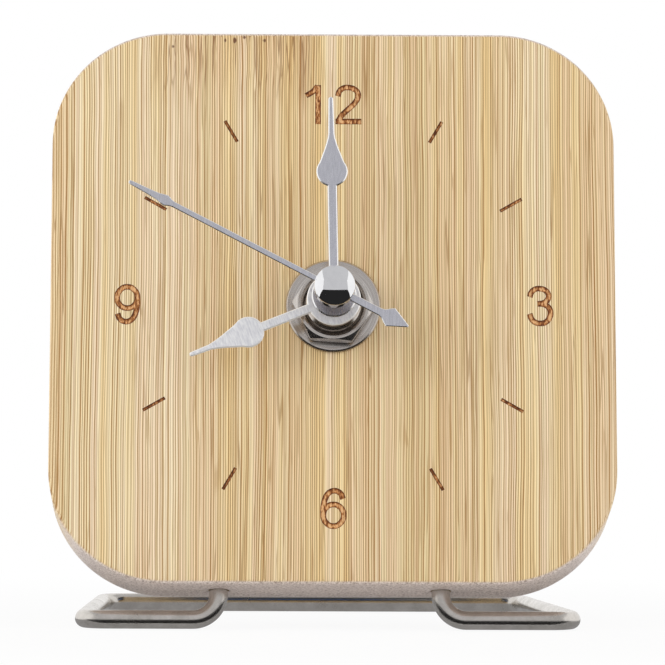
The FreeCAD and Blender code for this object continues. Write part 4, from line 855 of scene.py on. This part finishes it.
# %% Hexagon nut
NUT_WIDTH, NUT_BACK, NUT_FRONT, NUT_BORE = 12.7, -0.8, -3.7, 4.92
clear_selection()
bpy.ops.mesh.primitive_cylinder_add(vertices=6, radius=NUT_WIDTH / math.sqrt(3) * MM,
                                    depth=(NUT_BACK - NUT_FRONT) * MM, rotation=(math.pi / 2, 0, 0),
                                    location=(0, (NUT_BACK + NUT_FRONT) / 2 * MM, 0))
nut = new_piece("hex_nut_cut")
place(nut, about_shaft(33.5))
blank = turned_ring("nut_blank", [
    (NUT_BORE, NUT_FRONT + 0.9), (5.8, NUT_FRONT), (6.3, NUT_FRONT - 0.001), (7.6, NUT_FRONT + 0.8),
    (7.6, NUT_BACK - 0.9), (6.0, NUT_BACK + 0.001), (5.2, NUT_BACK), (NUT_BORE, NUT_BACK - 0.3)], sides=120)
combine(nut, "INTERSECT", blank)
break_edges(nut, 0.08, 28)
finish_piece(nut, "clock", "hex_nut", nickel, smooth=24)

# %% [markdown]
# ## The hands
# Each hand is stamped from thin sheet, so its outline is everything. A blade grows from a small plane: its
# outer edge is extruded to each next reach along the hand and widened or narrowed there. It is given the
# sheet's thickness, and its front is inset into a flat with a sloped edge all round, which catches the light
# as a bright line in the photograph. Then it is welded to its round boss.


# %% Helpers for the hands
def blade(rows, level, thickness, edge):
    """A flat blade that points up, from rows of (reach, half width), with its front at a level. The sheet is
    made thinner by the edge, and its flat is then raised again inside the sloped edge."""
    clear_selection()
    level, thickness = level - edge, thickness - edge
    (start, half), (reach, end_half) = rows[:2]
    bpy.ops.mesh.primitive_plane_add(size=1, location=(0, -level * MM, (start + reach) / 2 * MM),
                                     rotation=(math.pi / 2, 0, 0))
    bpy.context.object.scale = (2 * half * MM, abs(reach - start) * MM, 1)
    piece = new_piece("blade")
    edit(piece)
    pick(piece, "EDGE", lambda ends: all(abs(end.z - reach) < TOUCH for end in ends))
    widen(end_half / half)
    for next_reach, next_half in rows[2:]:
        extrude((0, 0, next_reach - reach))
        widen(next_half / end_half)
        reach, end_half = next_reach, next_half
    bpy.ops.mesh.select_all(action="SELECT")
    extrude((0, thickness, 0))
    bpy.ops.mesh.select_all(action="SELECT")
    bpy.ops.mesh.normals_make_consistent(inside=False)
    pick(piece, "FACE", lambda corners: all(abs(corner.y + level) < 10 * TOUCH for corner in corners))
    bpy.ops.mesh.inset(thickness=edge * MM, depth=edge * MM, use_even_offset=True)
    bpy.ops.object.mode_set(mode="OBJECT")
    return piece


BAR_HALF, BULB = 0.825, 2.75
NECK_ROWS = [(0.23, 2.22), (0.33, 1.93), (0.48, 1.57), (0.61, 1.22), (0.75, 0.92), (0.88, 0.68)]
TIP_ROWS = [(1.0, 1.0), (0.5, 0.87), (0.13, 0.5), (0.0, 0.1)]
BULB_STEPS = 12


def spade_rows(start, bulb_reach, neck_reach, neck_half, tip_half, length):
    """Rows of a spade hand: a bar, a round bulb, a neck that thins beyond it, and a rounded tip."""
    rows = [(start, BAR_HALF)]
    foot = -math.sqrt(BULB ** 2 - BAR_HALF ** 2)
    for step in range(BULB_STEPS + 1):
        offset = foot + (BULB * 0.42 - foot) * step / BULB_STEPS
        rows.append((bulb_reach + offset, math.sqrt(BULB ** 2 - offset ** 2)))
    rows += [(bulb_reach + (neck_reach - bulb_reach) * share, half) for share, half in NECK_ROWS]
    rows.append((neck_reach, neck_half))
    return rows + [(length - tip_half * back, tip_half * half) for back, half in TIP_ROWS]


def finish_hand(boss, blades, degrees, body, node, metal):
    """Welds the blades to the boss and turns the hand to its place on the dial."""
    combine(boss, "UNION", *blades)
    place(boss, about_shaft(degrees))
    finish_piece(boss, body, node, metal)


# %% Hour hand, minute hand and second hand
HOUR_LEVEL, MINUTE_LEVEL, SECONDS_LEVEL = 7.5, 10.4, 15.5
SHEET, THIN_SHEET = 0.4, 0.3
EDGE, FINE_EDGE = 0.2, 0.12
hour_boss = turned_ring("hour_hand_stamped", [
    (1.6, -7.5), (4.55, -7.5), (4.75, -7.3), (4.75, -7.1), (1.6, -7.1)])
hour_blade = blade(spade_rows(2.5, 16.1, 23.4, 0.5, 0.4, 27.2), HOUR_LEVEL, SHEET, EDGE)
finish_hand(hour_boss, [hour_blade], 248.0, "hour", "hour_hand", cross_brushed_aluminium_painted_lighter)

minute_boss = turned_ring("minute_hand_stamped", [
    (0.6, -10.4), (3.72, -10.4), (3.92, -10.2), (3.92, -10.0), (0.6, -10.0)])
minute_blade = blade(spade_rows(2.0, 22.35, 29.2, 0.55, 0.425, 35.95), MINUTE_LEVEL, SHEET, EDGE)
finish_hand(minute_boss, [minute_blade], -1.0, "minute", "minute_hand", brushed_aluminium)

POINT_ROWS = [(0.5, 0.5), (31.8, 0.5), (32.4, 0.62), (33.3, 1.0), (34.1, 0.86), (34.8, 0.66), (36.6, 0.52),
              (38.9, 0.42), (40.2, 0.36), (40.5, 0.30), (40.65, 0.18)]
TAIL_ROWS = [(-0.5, 0.675), (-9.0, 0.675), (-9.5, 0.80), (-9.9, 1.05), (-10.4, 1.45), (-11.0, 1.8),
             (-14.2, 0.30), (-14.5, 0.16)]
second_hub = turned("second_hand_stamped", [(0, -15.5), (2.5, -15.5), (2.5, -15.2), (0, -15.2)])
second_blades = [blade(rows, SECONDS_LEVEL, THIN_SHEET, FINE_EDGE) for rows in (POINT_ROWS, TAIL_ROWS)]
finish_hand(second_hub, second_blades, 297.9, "seconds", "second_hand", brushed_aluminium)

# %% [markdown]
# ## Collars and dome
# Under each hand a short collar grips the arbor, and a polished dome caps the stack. The dome is one more
# turned piece: its profile is a straight wall, a small broken edge and an arc that closes on the axis.

# %% Collars and dome
hour_collar = turned_ring("hour_collar_turned", [
    (2.51, -7.1), (3.11, -7.1), (3.11, -5.9), (2.95, -5.7), (2.51, -5.7)])
finish_piece(hour_collar, "hour", "hour_hand_collar", nickel)
minute_collar = turned_ring("minute_collar_turned", [
    (1.51, -10.0), (2.11, -10.0), (2.11, -8.75), (1.95, -8.6), (1.51, -8.6)])
finish_piece(minute_collar, "minute", "minute_hand_collar", nickel)

DOME_RADIUS, DOME_CURVE, DOME_FRONT = 3.58, 4.6, -19.26
DOME_STEPS = 24
dome_slope = math.asin(3.48 / DOME_CURVE)
shoulder = DOME_FRONT + DOME_CURVE * (1 - math.cos(dome_slope))
dome_rows = [(0, -15.5), (3.45, -15.5), (DOME_RADIUS, -15.58), (DOME_RADIUS, shoulder + 0.12),
             (3.55, shoulder + 0.04)]
for step in range(DOME_STEPS + 1):
    slope = dome_slope * (1 - step / DOME_STEPS)
    dome_rows.append((DOME_CURVE * math.sin(slope), DOME_FRONT + DOME_CURVE * (1 - math.cos(slope))))
finish_piece(turned("dome_turned", dome_rows), "seconds", "dome_cap", chrome, smooth=12)

# %% [markdown]
# ## The movement's case from behind
# The back of a quartz movement is a square moulded shell: a works chamber closed by a cover, and below it an
# open bay for the cell. The shell is a rounded block with both chambers milled out, and its edges are broken
# as a mould leaves them.

# %% Case
CASE_HALF, CASE_FRONT, CASE_BACK = 28, 15.0, 30.5
POST_RADIUS = 1.5
BEYOND = 33  # a depth behind the case, where the milling starts
case = block("case_shell", (-CASE_HALF, CASE_FRONT, -CASE_HALF), (CASE_HALF, CASE_BACK, CASE_HALF), 3.0, 8)
works = block("works", (-26.8, 16.0, -10.0), (26.8, BEYOND, 26.8), 1.5, 5)
step_rim = block("step", (-27.3, 29.3, -10.5), (27.3, BEYOND, 27.3), 2.0, 5)
bay = block("bay", (-26.8, 15.8, -26.8), (26.8, BEYOND, -11.2), 1.5, 5)
slots = [block("slot", (a, 20.9, -12.7), (b, 26.1, -8.5)) for a, b in ((-26.8, -26.3), (26.3, 26.8))]
combine(case, "DIFFERENCE", works, step_rim, bay, drill(4.95, (0, 12, 0), (0, 20, 0)), *slots)
combine(case, "UNION", *[drill(POST_RADIUS, (x, 15.6, z), (x, 19.4, z))
                         for x in (-24.8, 24.8) for z in (24.8, -8.1)])
print("case faces:", len(case.data.polygons))
break_edges(case, 0.2, 50)
finish_piece(case, "clock", "movement_case", black_abs, smooth=20)

# %% [markdown]
# The cover drops onto a step in the case. Round the setting knob it carries two raised arrows that show that
# the hands may be turned either way, and small ejector marks, as mouldings of this kind do.

# %% Cover
KNOB_HEIGHT = 12
ARROW_RADIUS, ARROW_DEPTH, ARROW_HEIGHT = 7.6, 30.35, 0.3
ARROW_WIDTH, HEAD_WIDER, HEAD_DEGREES = 0.9, 2.6, 16
MARK_RADIUS = 1.3
cover = block("cover_plate", (-27.2, 29.3, -10.4), (27.2, CASE_BACK, 27.2), 1.9, 6)
pan = block("pan", (-24.2, 30.15, -8.0), (24.2, BEYOND, 24.6), 2.5, 8)
combine(cover, "DIFFERENCE", pan, drill(1.05, (0, 28, KNOB_HEIGHT), (0, BEYOND, KNOB_HEIGHT)))
break_edges(cover, 0.15, 50)


def raised_arrow(start, end):
    """A curved arrow about the knob, standing a little proud of the cover's pan."""
    clear_selection()
    bpy.ops.mesh.primitive_plane_add(size=1, location=(ARROW_RADIUS * MM, ARROW_DEPTH * MM, 0),
                                     rotation=(math.pi / 2, 0, 0))
    bpy.context.object.scale = (ARROW_WIDTH * MM, 0.02 * MM, 1)
    arrow = new_piece("arrow")
    edit(arrow)
    pick(arrow, "EDGE", lambda ends: all(end.z > 0 for end in ends))
    about_knob = {"center": (0, ARROW_DEPTH * MM, 0), "axis": (0, 1, 0)}
    bpy.ops.mesh.spin(steps=14, angle=math.radians(end - start), **about_knob)
    bpy.ops.transform.resize(value=(HEAD_WIDER,) * 3)
    bpy.ops.mesh.spin(steps=1, angle=math.radians(HEAD_DEGREES), **about_knob)
    bpy.ops.mesh.merge(type="CENTER")
    bpy.ops.mesh.select_all(action="SELECT")
    extrude((0, -ARROW_HEIGHT, 0))
    leave_edit()
    place(arrow, Matrix.Translation((0, 0, KNOB_HEIGHT * MM)) @ about_shaft(start))
    return arrow


marks = [drill(MARK_RADIUS, (x, 30.1, z), (x, 30.25, z)) for x in (-20.5, 20.5) for z in (-4.5, 21)]
join(cover, raised_arrow(20, 130), raised_arrow(200, 310), *marks)
finish_piece(cover, "clock", "movement_cover", black_abs, smooth=20)

# %% [markdown]
# The knob is gripped between two fingers, so its rim is grooved. A turned blank is cut by 24 thin rods.

# %% Setting knob
GROOVES, GROOVE_REACH, GROOVE_RADIUS = 24, 5.05, 0.4
knob = turned("knob_turned", [(1.01, 30.9), (4.9, 30.9), (5.0, 31.0), (5.0, 33.6), (4.85, 33.95), (4.5, 34.1),
                              (3.4, 34.1), (3.1, 33.8), (0.6, 33.8), (0.0, 33.8)])
for groove in range(GROOVES):
    angle = math.tau * groove / GROOVES
    x, z = GROOVE_REACH * math.sin(angle), GROOVE_REACH * math.cos(angle)
    combine(knob, "DIFFERENCE", drill(GROOVE_RADIUS, (x, 29.5, z), (x, 35.5, z), sides=10))
place(knob, Matrix.Translation((0, 0, KNOB_HEIGHT * MM)))
finish_piece(knob, "setting", "setting_knob", knob_abs)

# %% [markdown]
# ## The cell and its contacts
# A standard AA cell lies in the bay. It is turned about its own axis and then laid along the bay. The film
# jacket ends a little before each cap, and a raised button is the positive pole.

# %% Cell
CELL_END, CELL_DEPTH, CELL_HEIGHT = 25.25, 23.2, -19.0
cell = turned("cell_turned", [
    (0, -CELL_END), (6.2, -CELL_END), (6.45, -25.1), (6.75, -24.8), (7.1, -24.75), (7.25, -24.5),
    (7.25, 23.6), (7.1, 23.95), (6.4, 24.1), (6.2, 23.95), (4.0, 23.95), (3.4, 24.2), (2.75, 24.25),
    (2.75, 25.05), (2.55, CELL_END), (0.3, CELL_END), (0.0, CELL_END)])
lay_down = Matrix.Rotation(-math.pi / 2, 4, "Z")
place(cell, Matrix.Translation((0, CELL_DEPTH * MM, CELL_HEIGHT * MM)) @ lay_down)
finish_piece(cell, "clock", "battery_cell", cell_jacket)

# %% [markdown]
# Each contact is a leaf of spring steel that stands on the end wall, bows out to press on the cell, and runs
# up into the works. It is one strip, extruded from bend to bend and given its thickness.


# %% Contacts
def edge_between(name, *ends):
    """A piece that is one edge between two places, left in edit mode and selected."""
    clear_selection()
    bpy.ops.mesh.primitive_plane_add(size=1)
    piece = new_piece(name)
    edit(piece)
    pick(piece, "VERT", lambda spots: spots[0].y > 0)
    bpy.ops.mesh.delete(type="VERT")
    bpy.ops.object.mode_set(mode="OBJECT")
    for vert, end in zip(piece.data.vertices, ends):
        vert.co = Vector(end) * MM
    edit(piece)
    bpy.ops.mesh.select_all(action="SELECT")
    return piece


LEAF_SPINE = [(26.6, -23.5), (26.6, -20.2), (25.46, -19.35), (25.46, -18.65), (26.6, -14.9), (26.6, -6.0)]
LEAF_DEPTHS = (21.2, 25.8)
LEAF_THICK, LEAF_BEND = 0.34, 0.3
for name, side, node in (("positive_leaf", 1, "positive_contact"), ("negative_leaf", -1, "negative_contact")):
    leaf = edge_between(name, *[(side * LEAF_SPINE[0][0], depth, LEAF_SPINE[0][1]) for depth in LEAF_DEPTHS])
    for (x, z), (next_x, next_z) in zip(LEAF_SPINE, LEAF_SPINE[1:]):
        extrude((side * (next_x - x), 0, next_z - z))
    bpy.ops.object.mode_set(mode="OBJECT")
    apply_modifier(leaf, "SOLIDIFY", thickness=LEAF_THICK * MM, offset=0.0)
    break_edges(leaf, LEAF_BEND, 12, segments=3)
    edit(leaf)
    leave_edit()
    finish_piece(leaf, "clock", node, spring_steel)

# %% [markdown]
# ## The studio
# A big white floor keeps the clock's soft shadow. The background is pure white, as in the photograph, by
# showing white to the camera and in mirrors. The metals need something else to mirror too, so a grey card
# hangs in front and over the clock and a black one before it. A darker card under it is a painted shadow: it
# gives the mirrors the floor's shade under the clock, which the white floor hides from them. Two plain soft
# boxes light the board evenly.


# %% Floor
def shows_white(tree):
    """1 for rays from the camera and for rays in mirrors and clear things, 0 for light on the object."""
    rays = add(tree, "LightPath").outputs
    mirrored = add(tree, "Math MAXIMUM", rays["Is Glossy Ray"], rays["Is Transmission Ray"])
    return add(tree, "Math MAXIMUM", rays["Is Camera Ray"], mirrored)


def floor_finish():
    """Matt white paper: white to the eye, and still darker where the clock's shadow falls."""
    material, tree, shader = new_material("matt white paper")
    fibre = add(tree, "TexNoise", named={"Scale": 900.0, "Detail": 3.0})
    feed(shader, named={"Base Color": add(tree, "ValToRGB", fibre, stops=((0.3, "F4F4F4"), (0.7, "FAFAFA"))),
                        "Roughness": 0.9})
    white = add(tree, "Emission", (1, 1, 1, 1), 1.0)
    away = add(tree, "VectorMath LENGTH", add(tree, "TexCoord").outputs["Object"])
    fade = add(tree, "MapRange", away, 0.08, 0.20, 0.92, 1.0, interpolation_type="SMOOTHSTEP")
    share = add(tree, "Math MULTIPLY", shows_white(tree), fade)
    feed(tree.get_output_node("ALL"), [add(tree, "MixShader", share, shader, white)])
    return material


FLOOR_RADIUS, JUST_BELOW = 1.6, -0.0001  # metres
clear_selection()
bpy.ops.mesh.primitive_circle_add(vertices=96, radius=FLOOR_RADIUS, fill_type="NGON",
                                  location=(0, 0, JUST_BELOW))
floor = bpy.context.object
floor.name = "floor"
floor.data.materials.append(floor_finish())
floor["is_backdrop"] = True

# %% World and lamps
WORLD_LIGHT, SOFT_BOX_SIZE = 0.62, 0.7
CLOCK_MIDDLE = Vector((0, 0, 50)) * MM
world = bpy.data.worlds.new("studio")
bpy.context.scene.world = world
world.use_nodes = True
world.node_tree.nodes.clear()
strength = add(world.node_tree, "MapRange", shows_white(world.node_tree), 0.0, 1.0, WORLD_LIGHT, 1.0)
add(world.node_tree, "OutputWorld", add(world.node_tree, "Background", (1, 1, 1, 1), strength))


def soft_box(name, spot, power):
    """A plain square light that points at the clock and isn't mirrored in it."""
    clear_selection()
    spot = Vector(spot) * MM
    bpy.ops.object.light_add(type="AREA", location=spot)
    lamp = bpy.context.object
    lamp.name = name
    lamp.data.size = SOFT_BOX_SIZE
    lamp.data.energy = power
    lamp.visible_glossy = False
    aim = CLOCK_MIDDLE - spot
    lamp.rotation_euler = aim.to_track_quat("-Z", "Y").to_euler()
    print(f"{name}: {aim.length:.2f} m away, {power} W")


soft_box("soft_box_left", (-900, -500, 500), 4.5)
soft_box("soft_box_right", (900, -450, 450), 3.2)
bpy.context.scene.view_settings.view_transform = "Standard"


# %% Cards for the metals to mirror
def card(name, tone, rows):
    """A card of one tone, from rows of (left, right, depth, height) in millimetres. Only mirrors show it."""
    left, end, depth, height = rows[0]
    piece = edge_between(name, (left, depth, height), (end, depth, height))
    for next_left, next_end, next_depth, next_height in rows[1:]:
        share = (next_end - next_left) / (end - left)
        extrude((next_left / share - left, next_depth - depth, next_height - height))
        widen(share)
        left, end, depth, height = next_left, next_end, next_depth, next_height
    bpy.ops.object.mode_set(mode="OBJECT")
    material, tree, _ = new_material(f"{name} paper")
    tooth = add(tree, "TexNoise", named={"Scale": 60.0, "Detail": 2.0})
    shade = add(tree, "MapRange", tooth, 0.0, 1.0, tone * 0.97, tone * 1.03)
    feed(tree.get_output_node("ALL"), [add(tree, "Emission", (1, 1, 1.02, 1), shade)])
    piece.data.materials.append(material)
    for kind in ("camera", "diffuse", "transmission", "volume_scatter", "shadow"):
        setattr(piece, f"visible_{kind}", False)
    piece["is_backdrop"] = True


card("grey_card", 0.60, [(-1100, 1500, -900, 0), (-1100, 1500, -900, 550), (-1000, 1300, -650, 950),
                         (-900, 1150, -200, 1100), (-700, 850, 400, 1100), (-500, 600, 900, 1000)])
# painted shadow: a darker card under the clock, seen only in mirrors, stands in for the floor's shade there
card("painted_shadow_card", 0.34, [(-58, 58, 45, 0.02), (-58, 58, -26.4, 0.02)])
card("black_card", 0.020, [(-78, 78, -26.5, 0.02), (-1150, 1400, -898, 0.02)])

# %% [markdown]
# ## Both boxes side by side
# The dressed model has to stay inside the CAD model's box, so both boxes are kept side by side.

# %% Check and finish
shown_box = [list(corner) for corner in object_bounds()]
for axis, cad_low, cad_high, low, high in zip("xyz", *cad_box, *shown_box):
    print(f"{axis}: CAD {cad_low:.5f} to {cad_high:.5f}, shown {low:.5f} to {high:.5f}")
